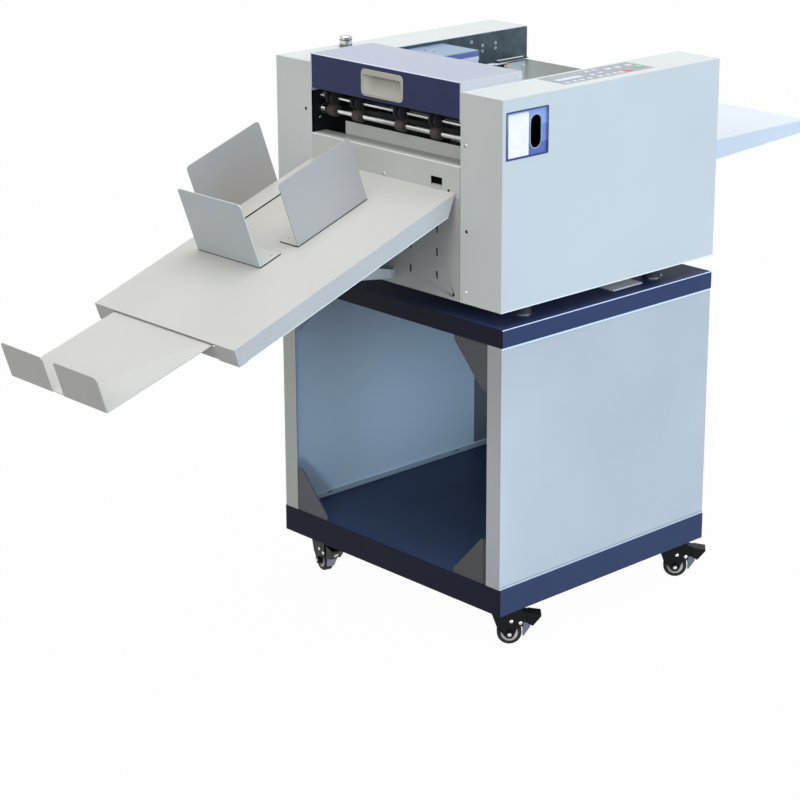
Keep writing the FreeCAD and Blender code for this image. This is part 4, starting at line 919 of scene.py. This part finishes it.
@dataclass(frozen=True)
class Seat:
    """Plane that a piece is built on.

    Attributes:
        place: Place of the piece's middle in millimetres of the machine.
        across: Direction of the piece's width.
        up: Direction of its height; it rises at right angles to both.
    """

    place: Point
    across: Point
    up: Point

    def matrix(self) -> Matrix:
        """Works out where the piece lies.

        Returns:
            Matrix from the piece's millimetres to the frame.
        """
        width, height = Vector(self.across), Vector(self.up)
        turn = Matrix((width, height, width.cross(height))).transposed().to_4x4()
        return Matrix.Translation(BENCH.at(*self.place)) @ turn @ Matrix.Scale(MM, 4)

    def moved(self, across: float, up: float, rise: float = 0.0) -> "Seat":
        """Moves the plane in its own directions.

        Args:
            across: Distance along the width.
            up: Distance along the height.
            rise: Distance out of the plane.

        Returns:
            The seat at the new place.
        """
        width, height = Vector(self.across), Vector(self.up)
        place = (Vector(self.place) + width * across + height * up
                 + width.cross(height) * rise)
        return Seat(tuple(place), self.across, self.up)


class Face(Enum):
    """Faces of the machine that pieces are set on.

    Each holds the number of the axis across it, and the directions of a piece's width and height.
    """

    DELIVERY = (0, (0.0, -1.0, 0.0), (0.0, 0.0, 1.0))
    OPERATOR = (1, (1.0, 0.0, 0.0), (0.0, 0.0, 1.0))
    TOP = (2, (1.0, 0.0, 0.0), (0.0, 1.0, 0.0))

    def seat(self, first: float, second: float, level: float = 0.0) -> Seat:
        """Seat on this face.

        Args:
            first: Place along the first of the two axes that lie in the face.
            second: Place along the second.
            level: Place along the axis across the face.

        Returns:
            The seat.
        """
        axis, across, up = self.value
        place = [first, second]
        place.insert(axis, level)
        return Seat(tuple(place), across, up)

    def seats(self, places: Iterable[Pair], level: float = 0.0) -> list[Seat]:
        """Seats on this face at several places of one level."""
        return [self.seat(first, second, level) for first, second in places]


def ring(radius: float, rise: float, steps: int = 24) -> list[Point]:
    """Circle of points at a height over the seat.

    Args:
        radius: Radius of the circle.
        rise: Height over the seat.
        steps: How many points.

    Returns:
        The circle's points.
    """
    turn = 2 * math.pi / steps
    return [(radius * math.cos(turn * i), radius * math.sin(turn * i), rise)
            for i in range(steps)]


def oval(width: float, height: float, corner: float, rise: float, steps: int = 5) -> list[Point]:
    """Rectangle with round corners at a height over the seat.

    Args:
        width: Whole width.
        height: Whole height.
        corner: Radius of the corners.
        rise: Height over the seat.
        steps: Points on each corner.

    Returns:
        The outline's points.
    """
    points = []
    quarter = math.pi / 2
    for number, (across, up) in enumerate(((1, 1), (-1, 1), (-1, -1), (1, -1))):
        middle = (across * (width / 2 - corner), up * (height / 2 - corner))
        for step in range(steps):
            angle = quarter * (number + step / (steps - 1))
            points.append((middle[0] + corner * math.cos(angle),
                           middle[1] + corner * math.sin(angle), rise))
    return points


class Maker:
    """Gathers lofted forms into the mesh of one piece."""

    def __init__(self) -> None:
        """Starts an empty mesh."""
        self.form = bmesh.new()

    def loft(self, seat: Seat, loops: Sequence[Sequence[Point]], capped: bool = True) -> "Maker":
        """Skins a row of outlines.

        Args:
            seat: Where the outlines' points are measured from.
            loops: Outlines with as many points each.
            capped: Whether the two ends are closed, or joined to each other.

        Returns:
            The maker, for the next form.
        """
        matrix = seat.matrix()
        rings = [[self.form.verts.new(matrix @ Vector(point)) for point in loop]
                 for loop in loops]
        pairs = list(zip(rings, rings[1:]))
        if not capped:
            pairs.append((rings[-1], rings[0]))
        for low, high in pairs:
            for i in range(len(low)):
                after = (i + 1) % len(low)
                self.form.faces.new((low[i], low[after], high[after], high[i]))
        if capped:
            self.form.faces.new(rings[0])
            self.form.faces.new(rings[-1])
        return self

    def each(self, form: Callable[..., "Maker"], seats: Iterable[Seat],
             *sizes: float) -> "Maker":
        """Puts the same form on several seats.

        Args:
            form: One of the methods below.
            seats: The seats.
            *sizes: Sizes that the form takes.

        Returns:
            The maker, for the next form.
        """
        for seat in seats:
            form(self, seat, *sizes)
        return self

    def disc(self, seat: Seat, radius: float, rise: float, edge: float = 0.3,
             steps: int = 24) -> "Maker":
        """Round plate with a broken edge."""
        return self.loft(seat, (ring(radius, 0.0, steps), ring(radius, rise - edge, steps),
                                ring(radius - edge, rise, steps)))

    def dome(self, seat: Seat, radius: float, rise: float, steps: int = 20) -> "Maker":
        """Round head that swells from its rim.

        Args:
            seat: Where it is set.
            radius: Radius of its rim.
            rise: Height of its middle.
            steps: Points round it.

        Returns:
            The maker, for the next form.
        """
        layers, rim = 5, 0.2
        loops = [ring(radius, 0.0, steps)]
        for layer in range(layers):
            angle = math.pi / 2 * layer / layers
            height = rise * (rim + (1 - rim) * math.sin(angle))
            loops.append(ring(radius * math.cos(angle), height, steps))
        return self.loft(seat, loops)

    def screw(self, seat: Seat, radius: float, rise: float) -> "Maker":
        """Pan head with a cross cut into it, as a star that sinks from the rim.

        Args:
            seat: Where it is set.
            radius: Radius of the head.
            rise: Height of the head.

        Returns:
            The maker, for the next form.
        """
        points, arms, tip, root = 24, 4, 0.62, 0.2
        top, shoulder, cut = 0.8, 0.42, 0.6
        star = []
        for i in range(points):
            angle = 2 * math.pi * i / points
            reach = radius * (root if i % (points // arms) else tip)
            star.append((reach * math.cos(angle), reach * math.sin(angle)))
        return self.loft(seat, (
            ring(radius, 0.0, points), ring(radius, rise * shoulder, points),
            ring(radius * top, rise, points), [(u, v, rise) for u, v in star],
            [(u * cut, v * cut, rise * shoulder) for u, v in star]))

    def washer(self, seat: Seat, outer: float, inner: float, rise: float,
               steps: int = 32) -> "Maker":
        """Flat ring."""
        return self.loft(seat, (ring(outer, 0.0, steps), ring(outer, rise, steps),
                                ring(inner, rise, steps), ring(inner, 0.0, steps)), False)

    def plate(self, seat: Seat, width: float, height: float, rise: float,
              corner: float = 1.0, edge: float = 0.2) -> "Maker":
        """Plate with round corners and a broken edge.

        Args:
            seat: Where its middle is set.
            width: Whole width.
            height: Whole height.
            rise: Thickness.
            corner: Radius of the corners.
            edge: Width of the broken edge.

        Returns:
            The maker, for the next form.
        """
        return self.loft(seat, (
            oval(width, height, corner, 0.0), oval(width, height, corner, rise - edge),
            oval(width - 2 * edge, height - 2 * edge, corner - edge / 2, rise)))

    def rim(self, seat: Seat, width: float, height: float, corner: float, border: float,
            rise: float) -> "Maker":
        """Flat frame with round corners.

        Args:
            seat: Where its middle is set.
            width: Whole width.
            height: Whole height.
            corner: Radius of the outer corners.
            border: Width of the frame.
            rise: Thickness.

        Returns:
            The maker, for the next form.
        """
        tightest = 0.3
        inner = (width - 2 * border, height - 2 * border, max(corner - border, tightest))
        return self.loft(seat, (
            oval(width, height, corner, 0.0), oval(width, height, corner, rise),
            oval(*inner, rise), oval(*inner, 0.0)), False)

    def strip(self, seat: Seat, outline: Sequence[Pair], rise: float) -> "Maker":
        """Bar whose section is an outline on the seat."""
        return self.loft(seat, ([(u, v, -rise / 2) for u, v in outline],
                                [(u, v, rise / 2) for u, v in outline]))

    def build(self, label: str, body: str, slot: str, finish: Finish) -> bpy.types.Object:
        """Ends the piece.

        Args:
            label: Name of the piece.
            body: Body that it moves with.
            slot: Not used.
            finish: Its finish.

        Returns:
            The new object.
        """
        sharp = math.radians(35)
        bmesh.ops.recalc_face_normals(self.form, faces=self.form.faces)
        mesh = bpy.data.meshes.new(label)
        self.form.to_mesh(mesh)
        self.form.free()
        mesh.shade_smooth()
        mesh.set_sharp_from_angle(angle=sharp)
        mesh.materials.append(finish.material())
        piece = placed(label, mesh)
        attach(piece, body)
        LOG.info("%s rides on %s", label, body)
        return piece


# ---------------------------------------------------------------- sub-assemblies


@dataclass
class Stand:
    """Castor stand.

    Attributes:
        fold: Radius of the sheets' folds.
        top: Height of its top.
        shim: Middle of the light plate that lies on the top.
        shim_size: Width, depth, thickness and corner of that plate.
        feet: Places of the machine's feet from the corner.
        washer: Outer radius, inner radius and thickness of the feet's washers.
    """

    fold: float = 0.8
    top: float = -33.0
    shim: Pair = (401.0, 66.0)
    shim_size: Plate = (88.0, 60.0, 2.0, 3.0)
    feet: tuple[Pair, ...] = ((120.0, 62.0), (500.0, 62.0), (120.0, 588.0), (500.0, 588.0))
    washer: Size = (23.0, 19.1, 1.6)

    def dress(self) -> None:
        """Finishes the stand."""
        dress(Finish.STAND, "stand_operator_panel", "stand_feed_end_panel")
        dress(Finish.INNER, "stand_rear_panel")
        dress(Finish.BASE, "stand_base_pan")
        dress(Finish.NAVY, "stand_top_frame")
        dress(Finish.GUSSET, "stand_gussets")
        soften(self.fold, "stand_operator_panel", "stand_rear_panel", "stand_base_pan",
               "stand_top_frame")
        Maker().plate(Face.TOP.seat(*self.shim, self.top), *self.shim_size).build(
            "levelling_plate", "machine", "table_white", Finish.CARD)
        Maker().each(Maker.washer, Face.TOP.seats(self.feet, self.top), *self.washer).build(
            "foot_washers", "machine", "zinc", Finish.CHROME)


@dataclass
class Castors:
    """Four swivel castors, each measured along its trail and up from the floor.

    Attributes:
        pivots: Place and heading in degrees of each castor.
        floor: Height of the floor.
        axle: Wheel's middle along the trail and up.
        leg_face: Half the width across the fork's legs.
        rivets: Places of the rivets in each leg.
        rivet: Radius and rise of a rivet.
        bolt_face: Half the width across the axle's heads.
        nut: Radius across the corners, thickness and broken edge of the axle's nut.
        nut_sides: Sides of the nut.
        bolt_end: Radius and rise of the bolt's rounded end.
        core: Outer radius, inner radius and thickness of the wheel's pale core.
        core_face: Half the width of the web that the core lies on.
        shoe: Outline of the brake's spring plate.
        shoe_width: Width of that plate.
        pad: Middle of the pedal's end face, along and up.
        pad_slope: Direction of the end face, along and up.
        pad_size: Width, height, rise and corner of the bright steel plate on the end face: the
            pedal's metal end, and in part a painted glint.
    """

    pivots: tuple[Point, ...] = (
        (56.0, 51.0, -43.0), (564.0, 51.0, -48.0), (56.0, 599.0, -105.0), (564.0, 599.0, -30.0))
    floor: float = -713.0
    axle: Pair = (19.0, 25.0)
    leg_face: float = 14.5
    rivets: tuple[Pair, ...] = ((22.5, 52.0), (41.0, 48.6))
    rivet: Pair = (4.2, 2.6)
    bolt_face: float = 19.5
    nut: Size = (4.6, 1.8, 0.6)
    nut_sides: int = 6
    bolt_end: Pair = (2.3, 1.2)
    core: Size = (17.4, 9.2, 2.2)
    core_face: float = 7.0
    shoe: tuple[Pair, ...] = (
        (44.0, 49.0), (56.0, 46.5), (61.5, 38.5), (47.8, 17.6), (45.4, 18.6), (46.3, 28.0),
        (44.6, 35.4), (41.6, 41.6))
    shoe_width: float = 17.0
    pad: Pair = (74.5, 52.0)
    pad_slope: Pair = (0.63, 0.777)
    pad_size: Plate = (11.0, 13.0, 0.8, 5.0)

    def seat(self, pivot: Point, side: int = 1) -> Seat:
        """Seat at a castor's pivot and the floor.

        Args:
            pivot: Place and heading of the castor.
            side: 1 to look at its one side, -1 for the other.

        Returns:
            The seat.
        """
        x, y, heading = pivot
        across = (side * math.cos(math.radians(heading)), side * math.sin(math.radians(heading)))
        return Seat((x, y, self.floor), (*across, 0.0), (0.0, 0.0, 1.0))

    def dress(self) -> None:
        """Finishes plates, forks, wheels and pedals."""
        dress(Finish.CASTOR, "castor_plates")
        for number, pivot in enumerate(self.pivots, 1):
            dress(Finish.CASTOR, f"castor_fork_{number}", f"castor_pedal_{number}")
            dress(Finish.TYRE, f"castor_wheel_{number}")
            self.fit(number, pivot)
            self.insert(number, pivot)

    def fit(self, number: int, pivot: Point) -> None:
        """Adds the small pieces of one castor's fork and wheel.

        Args:
            number: Number of the castor.
            pivot: Its place and heading.
        """
        heads, nuts, cores = Maker(), Maker(), Maker()
        for side in (1, -1):
            seat = self.seat(pivot, side)
            for along, up in self.rivets:
                heads.dome(seat.moved(side * along, up, self.leg_face), *self.rivet)
            middle = (side * self.axle[0], self.axle[1])
            nuts.disc(seat.moved(*middle, self.bolt_face), *self.nut, self.nut_sides)
            nuts.dome(seat.moved(*middle, self.bolt_face + self.nut[1]), *self.bolt_end)
            cores.washer(seat.moved(*middle, self.core_face), *self.core)
        fork = f"castor_{number}"
        heads.build(f"fork_rivets_{number}", fork, "chrome", Finish.CHROME)
        nuts.build(f"axle_nuts_{number}", fork, "chrome", Finish.CHROME)
        cores.build(f"wheel_core_{number}", f"castor_wheel_{number}", "ivory", Finish.CORE)
        Maker().strip(self.seat(pivot), self.shoe, self.shoe_width).build(
            f"brake_shoe_{number}", fork, "chrome", Finish.SPRING)

    def insert(self, number: int, pivot: Point) -> None:
        """Adds the bright steel plate on the end of one brake pedal: its metal end, and in part a
        painted glint.

        Args:
            number: Number of the castor.
            pivot: Its place and heading.
        """
        flat = self.seat(pivot)
        along, up = self.pad_slope
        climb = (along * flat.across[0], along * flat.across[1], up)
        level = tuple(-Vector(flat.across).cross(Vector(flat.up)))
        seat = Seat(flat.moved(*self.pad).place, level, climb)
        # Bright steel plate that in part stands in for the glint on the pedal's end.
        Maker().plate(seat, *self.pad_size).build(
            f"pedal_metal_end_and_glint_{number}", f"castor_pedal_{number}", "chrome", Finish.STEEL)


@dataclass
class Shell:
    """Covers, frames and panels of the machine.

    Attributes:
        fold: Radius of the covers' folds.
        screws: Places of the bright screws, across and up, on the delivery face.
        screw: Radius and rise of a screw's head.
        bolts: Places of the dark bolts beside the tray's hook.
        bolt: Radius and rise of a dark bolt's head.
        window: Middle, along and up, of the instruction recess.
        outline: Width, height, corner, border and rise of the dark line round it.
        floor: Depth of the recess.
        card: Middle of the card in the recess.
        card_size: Width, height, thickness and corner of the card.
        grip: Middle of the finger opening.
        grip_rim: Width, height, corner, border and rise of the opening's rim.
    """

    fold: float = 0.6
    screws: tuple[Pair, ...] = ((97.0, 310.6), (94.5, 23.5), (327.5, 218.7))
    screw: Pair = (3.6, 1.9)
    bolts: tuple[Pair, ...] = ((167.2, 214.6), (143.5, 216.0))
    bolt: Pair = (2.6, 1.6)
    window: Pair = (66.0, 340.0)
    outline: Rim = (114.0, 92.0, 3.0, 2.6, 0.4)
    floor: float = 3.5
    card: Pair = (45.5, 338.5)
    card_size: Plate = (54.0, 83.0, 0.6, 1.5)
    grip: Pair = (91.5, 340.0)
    grip_rim: Rim = (31.6, 66.6, 15.7, 1.3, 0.8)

    def dress(self) -> None:
        """Finishes the shell."""
        dress(Finish.COVER, "operator_side_cover")
        dress(Finish.BODY, "rear_side_cover", "feed_end_panel", "machine_base_plate")
        dress(Finish.CHEEK, "cover_cheeks")
        dress(Finish.PANEL, "delivery_front_panel", "delivery_baffle")
        dress(Finish.FRAME, "operator_side_frame", "rear_side_frame")
        dress(Finish.ZINC, "cover_liner_plates")
        dress(Finish.RECESS, "instruction_recess")
        dress(Finish.FOOT, "machine_feet")
        soften(self.fold, "operator_side_cover", "rear_side_cover", "cover_cheeks",
               "delivery_front_panel")
        Maker().each(Maker.screw, Face.DELIVERY.seats(self.screws), *self.screw).build(
            "cover_screws", "machine", "chrome", Finish.CHROME)
        Maker().each(Maker.screw, Face.DELIVERY.seats(self.bolts), *self.bolt).build(
            "hook_bolts", "machine", "frame_black", Finish.MOTOR)
        self.recess()

    def recess(self) -> None:
        """Adds the bare card, the dark outline and the rim of the finger opening."""
        Maker().rim(Face.OPERATOR.seat(*self.window), *self.outline).build(
            "recess_outline", "machine", "recess_grey", Finish.LINE)
        Maker().plate(Face.OPERATOR.seat(*self.card, self.floor), *self.card_size).build(
            "instruction_card", "machine", "table_white", Finish.CARD)
        Maker().rim(Face.OPERATOR.seat(*self.grip, self.floor), *self.grip_rim).build(
            "finger_opening_rim", "machine", "recess_grey", Finish.BRIGHT_ZINC)


@dataclass
class Keypad:
    """Membrane keypad with its keys.

    Attributes:
        top: Height of the membrane.
        display: Middle of the display.
        display_size: Width, height, thickness and corner of the display.
        display_rim: Width, height, corner, border and rise of its rim.
        small: Width, height, rise and corner of a small key.
        near_row: Places along the machine of the near row's keys.
        near_y: Place across the machine of that row.
        block: Places of the four keys beside the display.
        large: Places of the two large keys and the pale one.
        large_size: Width, height, rise and corner of a large key.
        marks: Places along the machine of the far row's raised pads.
        mark_y: Place across the machine of that row.
        mark_size: Width, height, rise and corner of such a pad.
    """

    top: float = 411.0
    display: Pair = (243.0, 63.0)
    display_size: Plate = (72.0, 16.0, 0.5, 2.0)
    display_rim: Rim = (76.0, 20.0, 3.0, 2.0, 0.5)
    small: Plate = (13.0, 9.0, 0.5, 2.5)
    near_row: tuple[float, ...] = (213.0, 234.0, 254.0, 276.0, 306.0, 328.0, 348.0, 366.0)
    near_y: float = 38.0
    block: tuple[Pair, ...] = ((305.0, 58.0), (333.0, 63.0), (318.0, 86.0), (342.0, 88.0))
    large: tuple[Pair, ...] = ((372.0, 79.0), (399.0, 78.0), (431.0, 79.0))
    large_size: Plate = (17.0, 12.0, 0.5, 3.0)
    marks: tuple[float, ...] = (223.0, 239.0, 255.0, 271.0, 287.0, 302.0)
    mark_y: float = 88.0
    mark_size: Plate = (6.0, 3.0, 0.3, 1.0)

    def dress(self) -> None:
        """Finishes plate and keys."""
        dress(Finish.KEYPAD, "control_keypad")
        dress(Finish.GREEN, "start_key")
        dress(Finish.RED, "stop_key")
        seat = Face.TOP.seat(*self.display, self.top)
        Maker().plate(seat, *self.display_size).build(
            "display_window", "machine", "keypad_grey", Finish.WINDOW)
        Maker().rim(seat, *self.display_rim).build(
            "display_rim", "machine", "keypad_grey", Finish.MARK)
        small = [(x, self.near_y) for x in self.near_row] + list(self.block)
        keys = Maker().each(Maker.plate, Face.TOP.seats(small, self.top), *self.small)
        keys.each(Maker.plate, Face.TOP.seats(self.large, self.top), *self.large_size).build(
            "membrane_keys", "machine", "keypad_grey", Finish.KEY)
        pads = Face.TOP.seats(((x, self.mark_y) for x in self.marks), self.top)
        Maker().each(Maker.plate, pads, *self.mark_size).build(
            "membrane_signs", "machine", "keypad_grey", Finish.KEY)


@dataclass
class Hood:
    """Hinged hood with its handle, and the knob beside it.

    Attributes:
        grip: Middle, across and up, of the handle's bezel.
        size: Width and height of the bezel.
        corner: Radius of its corners.
        edge: Width of its broken edge.
        proud: How far it stands before the hood.
        side: Width of the bezel's sides and foot.
        head: Width of its top band.
        deep: Depth of the bowl under the top band.
        shallow: Depth of the bowl at its foot.
        slant: How far its left wall slants inwards.
        wall: Wall of the moulding.
        fold: Radius of the hood's folds.
        knob: Middle of the knob.
        knob_foot: Height of the knob's lower edge.
        knob_ring: Outer and inner radius of the bands on it.
        knob_shade_band: Low and high edge of the dark band of painted shade in the groove, from
            the foot.
        knob_skirt: Low and high edge of the dull band, from the foot.
    """

    grip: Pair = (331.0, 392.25)
    size: Pair = (120.0, 53.5)
    corner: float = 10.0
    edge: float = 0.6
    proud: float = 1.5
    side: float = 5.5
    head: float = 11.0
    deep: float = 14.0
    shallow: float = 2.5
    slant: float = 16.0
    wall: float = 1.4
    fold: float = 0.8
    knob: Pair = (159.0, 615.5)
    knob_foot: float = 411.0
    knob_ring: Pair = (13.15, 12.5)
    knob_shade_band: Pair = (15.5, 17.5)
    knob_skirt: Pair = (1.0, 8.0)

    def dress(self) -> None:
        """Finishes hood, handle and knob."""
        dress(Finish.HOOD, "hinged_cover")
        dress(Finish.BODY, "cover_hinge_rod")
        dress(Finish.CHROME, "depth_knob")
        soften(self.fold, "hinged_cover")
        self.handle()
        # The groove is a band of painted shade; the skirt is a dull metal band.
        for label, (low, high), finish in (("knob_shade_band", self.knob_shade_band, Finish.MOTOR),
                                           ("knob_skirt", self.knob_skirt, Finish.DULL)):
            seat = Face.TOP.seat(*self.knob, self.knob_foot + low)
            Maker().washer(seat, *self.knob_ring, high - low).build(
                label, "knob", "chrome", finish)

    def bowl(self, grow: float, sink: float) -> list[Point]:
        """Outline of the bowl's slanting floor.

        Args:
            grow: How far the outline is moved outwards.
            sink: How far it is moved back.

        Returns:
            Points that lie deeper towards the top band.
        """
        width = self.size[0] - 2 * self.side - self.slant
        height = self.size[1] - self.side - self.head - self.side / 2
        flat = oval(width + 2 * grow, height + 2 * grow, self.corner / 2 + grow, 0.0)
        share = (self.deep - self.shallow) / height
        middle = (self.deep + self.shallow) / 2
        shift = (self.slant / 2 - self.side / 4, (self.side - self.head) / 2)
        return [(u + shift[0], v + shift[1], -middle - share * v - sink) for u, v, _ in flat]

    def mouth(self, grow: float, rise: float) -> list[Point]:
        """Outline of the opening in the bezel.

        Args:
            grow: How far the outline is moved outwards.
            rise: Height over the hood.

        Returns:
            The outline's points.
        """
        lift = (self.side - self.head) / 2
        width = self.size[0] - 2 * self.side + 2 * grow
        height = self.size[1] - self.side - self.head + 2 * grow
        return [(u, v + lift, w) for u, v, w in oval(width, height, self.corner / 2 + grow, rise)]

    def handle(self) -> None:
        """Builds the moulded pull with its slanting bowl."""
        width, height = self.size
        face = (width - 2 * self.edge, height - 2 * self.edge, self.corner - self.edge)
        pull = Maker().loft(Face.DELIVERY.seat(*self.grip), (
            self.bowl(self.wall, self.wall), self.mouth(self.wall, 0.0),
            oval(width, height, self.corner, 0.0),
            oval(width, height, self.corner, self.proud - self.edge), oval(*face, self.proud),
            self.mouth(0.0, self.proud), self.mouth(0.0, 0.0), self.bowl(0.0, 0.0))).build(
                "recessed_pull", "hood", "ivory", Finish.IVORY)
        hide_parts("cover_handle")


@dataclass
class Mouth:
    """Delivery shafts, rollers and drive.

    Attributes:
        frame: Place across the machine of the rear frame's face.
        screw: Place, along and up, of the bright screw on it.
        screw_size: Radius and rise of its head.
    """

    frame: float = 543.0
    screw: Pair = (23.6, 295.0)
    screw_size: Pair = (2.8, 1.6)

    def dress(self) -> None:
        """Finishes what turns and what it runs in."""
        dress(Finish.CHROME, "lower_delivery_shaft", "upper_delivery_shaft", "shaft_bearings")
        dress(Finish.ROLLER, "lower_delivery_rollers")
        dress(Finish.TYRE, "upper_delivery_discs")
        dress(Finish.STEEL, "motor_pinion")
        dress(Finish.GEAR, "lower_shaft_gear", "upper_shaft_gear")
        dress(Finish.MOTOR, "drive_motor", "creasing_die", "crease_blade_bar")
        Maker().screw(Face.OPERATOR.seat(*self.screw, self.frame), *self.screw_size).build(
            "frame_screw", "machine", "chrome", Finish.CHROME)


@dataclass
class FeedEnd:
    """Well, suction head and feed table.

    Attributes:
        liner: Place across the machine of the well's rear wall.
        rings: Places, along and up, of the ring screws in that wall.
        ring_size: Outer radius, inner radius and rise of a ring screw.
        holes: Places of the wall's holes, painted as dark discs of shade.
        hole: Radius and rise of such a disc.
        frame: Place across the machine of the rear frame's face.
        cover: Middle, along and up, of the pale cover on the rear frame.
        cover_size: Width, height, thickness and corner of that cover.
        cover_screw: Place of the pale screw on that cover.
        cover_screw_size: Radius and rise of its head.
        ledge: Middle, along and up, of the ledge's pale stripe on the liner.
        stripe: Length, height, depth and corner of one of its stripes.
        blocks: Middle, then width and height, of the pale blocks beside the ledge.
        guide: Middle, along and up, of the cream guide below it.
        guide_size: Width, height and depth of that guide.
        lid: Height of the blower's top.
        lid_screws: Places, along and across, of the screws in it.
        lid_screw: Radius and rise of their heads.
    """

    liner: float = 541.5
    rings: tuple[Pair, ...] = ((450.0, 395.0), (483.0, 384.0), (483.0, 372.0), (522.0, 385.0),
                               (522.0, 374.0))
    ring_size: Size = (3.4, 1.9, 1.2)
    holes: tuple[Pair, ...] = ((498.0, 400.0), (548.0, 359.0), (329.0, 401.0), (315.0, 394.5))
    hole: Pair = (2.4, 0.6)
    frame: float = 543.0
    cover: Pair = (589.0, 310.0)
    cover_size: Plate = (58.0, 56.0, 1.2, 2.0)
    cover_screw: Pair = (611.0, 326.0)
    cover_screw_size: Pair = (4.2, 2.0)
    ledge: Pair = (568.0, 345.3)
    stripe: Plate = (80.0, 1.6, 1.2, 0.4)
    blocks: tuple[tuple[Pair, Pair], ...] = (
        ((506.0, 340.0), (20.0, 5.0)), ((520.0, 338.4), (8.0, 4.0)),
        ((571.0, 337.4), (92.0, 4.0)))
    guide: Pair = (562.0, 330.0)
    guide_size: Size = (22.0, 6.0, 1.3)
    lid: float = 403.0
    lid_screws: tuple[Pair, ...] = ((319.0, 533.6), (282.0, 507.0), (286.7, 484.5))
    lid_screw: Pair = (2.4, 1.1)

    def dress(self) -> None:
        """Finishes the feed end."""
        dress(Finish.TABLE, "feed_table")
        dress(Finish.BLOWER, "blower_box")
        dress(Finish.FRAME, "suction_head", "register_deck")
        dress(Finish.CHROME, "lift_guide_rods")
        wall, sides = Face.OPERATOR, 20
        Maker().each(Maker.washer, wall.seats(self.rings, self.liner), *self.ring_size,
                     sides).build("liner_ring_screws", "machine", "chrome", Finish.BRIGHT_ZINC)
        # Dark discs of painted shade where the wall has holes.
        Maker().each(Maker.disc, wall.seats(self.holes, self.liner), *self.hole).build(
            "liner_hole_shade", "machine", "frame_black", Finish.MOTOR)
        lid = Face.TOP.seats(self.lid_screws, self.lid)
        Maker().each(Maker.screw, lid, *self.lid_screw).build(
            "blower_lid_screws", "machine", "chrome", Finish.DULL)
        self.fittings(wall)

    def fittings(self, wall: Face) -> None:
        """Adds the ledge's pale stripe over a stripe of painted shadow, the blocks and the cover
        on the rear frame.

        Args:
            wall: The way that the liner and the frame face.
        """
        x, z = self.ledge
        _, height, depth, _ = self.stripe
        # The dark stripe is painted shadow under the ledge's pale stripe.
        for label, level, finish in (("ledge_pale_stripe", z, Finish.CARD),
                                     ("ledge_shadow_stripe", z - height, Finish.MOTOR)):
            Maker().plate(wall.seat(x, level, self.liner), *self.stripe).build(
                label, "machine", "table_white", finish)
        pale = Maker()
        for middle, size in self.blocks:
            pale.plate(wall.seat(*middle, self.frame), *size, depth)
        pale.build("ledge_blocks", "machine", "table_white", Finish.CARD)
        Maker().plate(wall.seat(*self.guide, self.frame), *self.guide_size).build(
            "cream_guide", "machine", "ivory", Finish.CREAM)
        Maker().plate(wall.seat(*self.cover, self.frame), *self.cover_size).build(
            "frame_side_plate", "machine", "body_grey", Finish.PALE)
        face = self.frame - self.cover_size[2]
        Maker().screw(wall.seat(*self.cover_screw, face), *self.cover_screw_size).build(
            "side_plate_screw", "machine", "chrome", Finish.CARD)


@dataclass
class Tray:
    """Delivery tray with guides and extension.

    Attributes:
        fold: Radius of the sheets' folds.
        slope: Degrees that the tray slopes down.
        height: Height of its top at the delivery face.
        rail: Middle of the end rail: along the slope, across, and over the tray's top.
        rail_size: Width, height and thickness of the end rail.
    """

    fold: float = 0.5
    slope: float = TRAY_SLOPE
    height: float = 214.0
    rail: Point = (-578.0, 335.0, -23.4)
    rail_size: Size = (308.0, 25.0, 2.0)

    def dress(self) -> None:
        """Finishes the tray."""
        dress(Finish.TRAY, "delivery_tray", "tray_extension")
        dress(Finish.GUIDE, "near_side_guide", "rear_side_guide")
        dress(Finish.STOP, "end_stop_guide")
        dress(Finish.PANEL, "tray_support_arm")
        soften(self.fold, "delivery_tray", "tray_extension", "near_side_guide",
               "rear_side_guide", "end_stop_guide")
        self.end_rail()

    def end_rail(self) -> None:
        """Adds the rail below the extension, behind the tray's end corners."""
        level, drop = math.cos(math.radians(self.slope)), math.sin(math.radians(self.slope))
        along, across, rise = self.rail
        place = (along * level - rise * drop, across, self.height + along * drop + rise * level)
        seat = Seat(place, (0.0, -1.0, 0.0), (-drop, 0.0, level))
        Maker().plate(seat, *self.rail_size).build(
            "tray_end_rail", "delivery_tray", "tray_grey", Finish.TRAY)


def main() -> None:
    """Sets up the studio and finishes each sub-assembly."""
    Studio().build()
    for part in (Stand(), Castors(), Shell(), Keypad(), Hood(), Mouth(), FeedEnd(), Tray()):
        part.dress()
        LOG.info("%s is done", type(part).__name__)


if __name__ == "__main__":
    logging.basicConfig(level=logging.INFO, format="%(message)s")
    main()
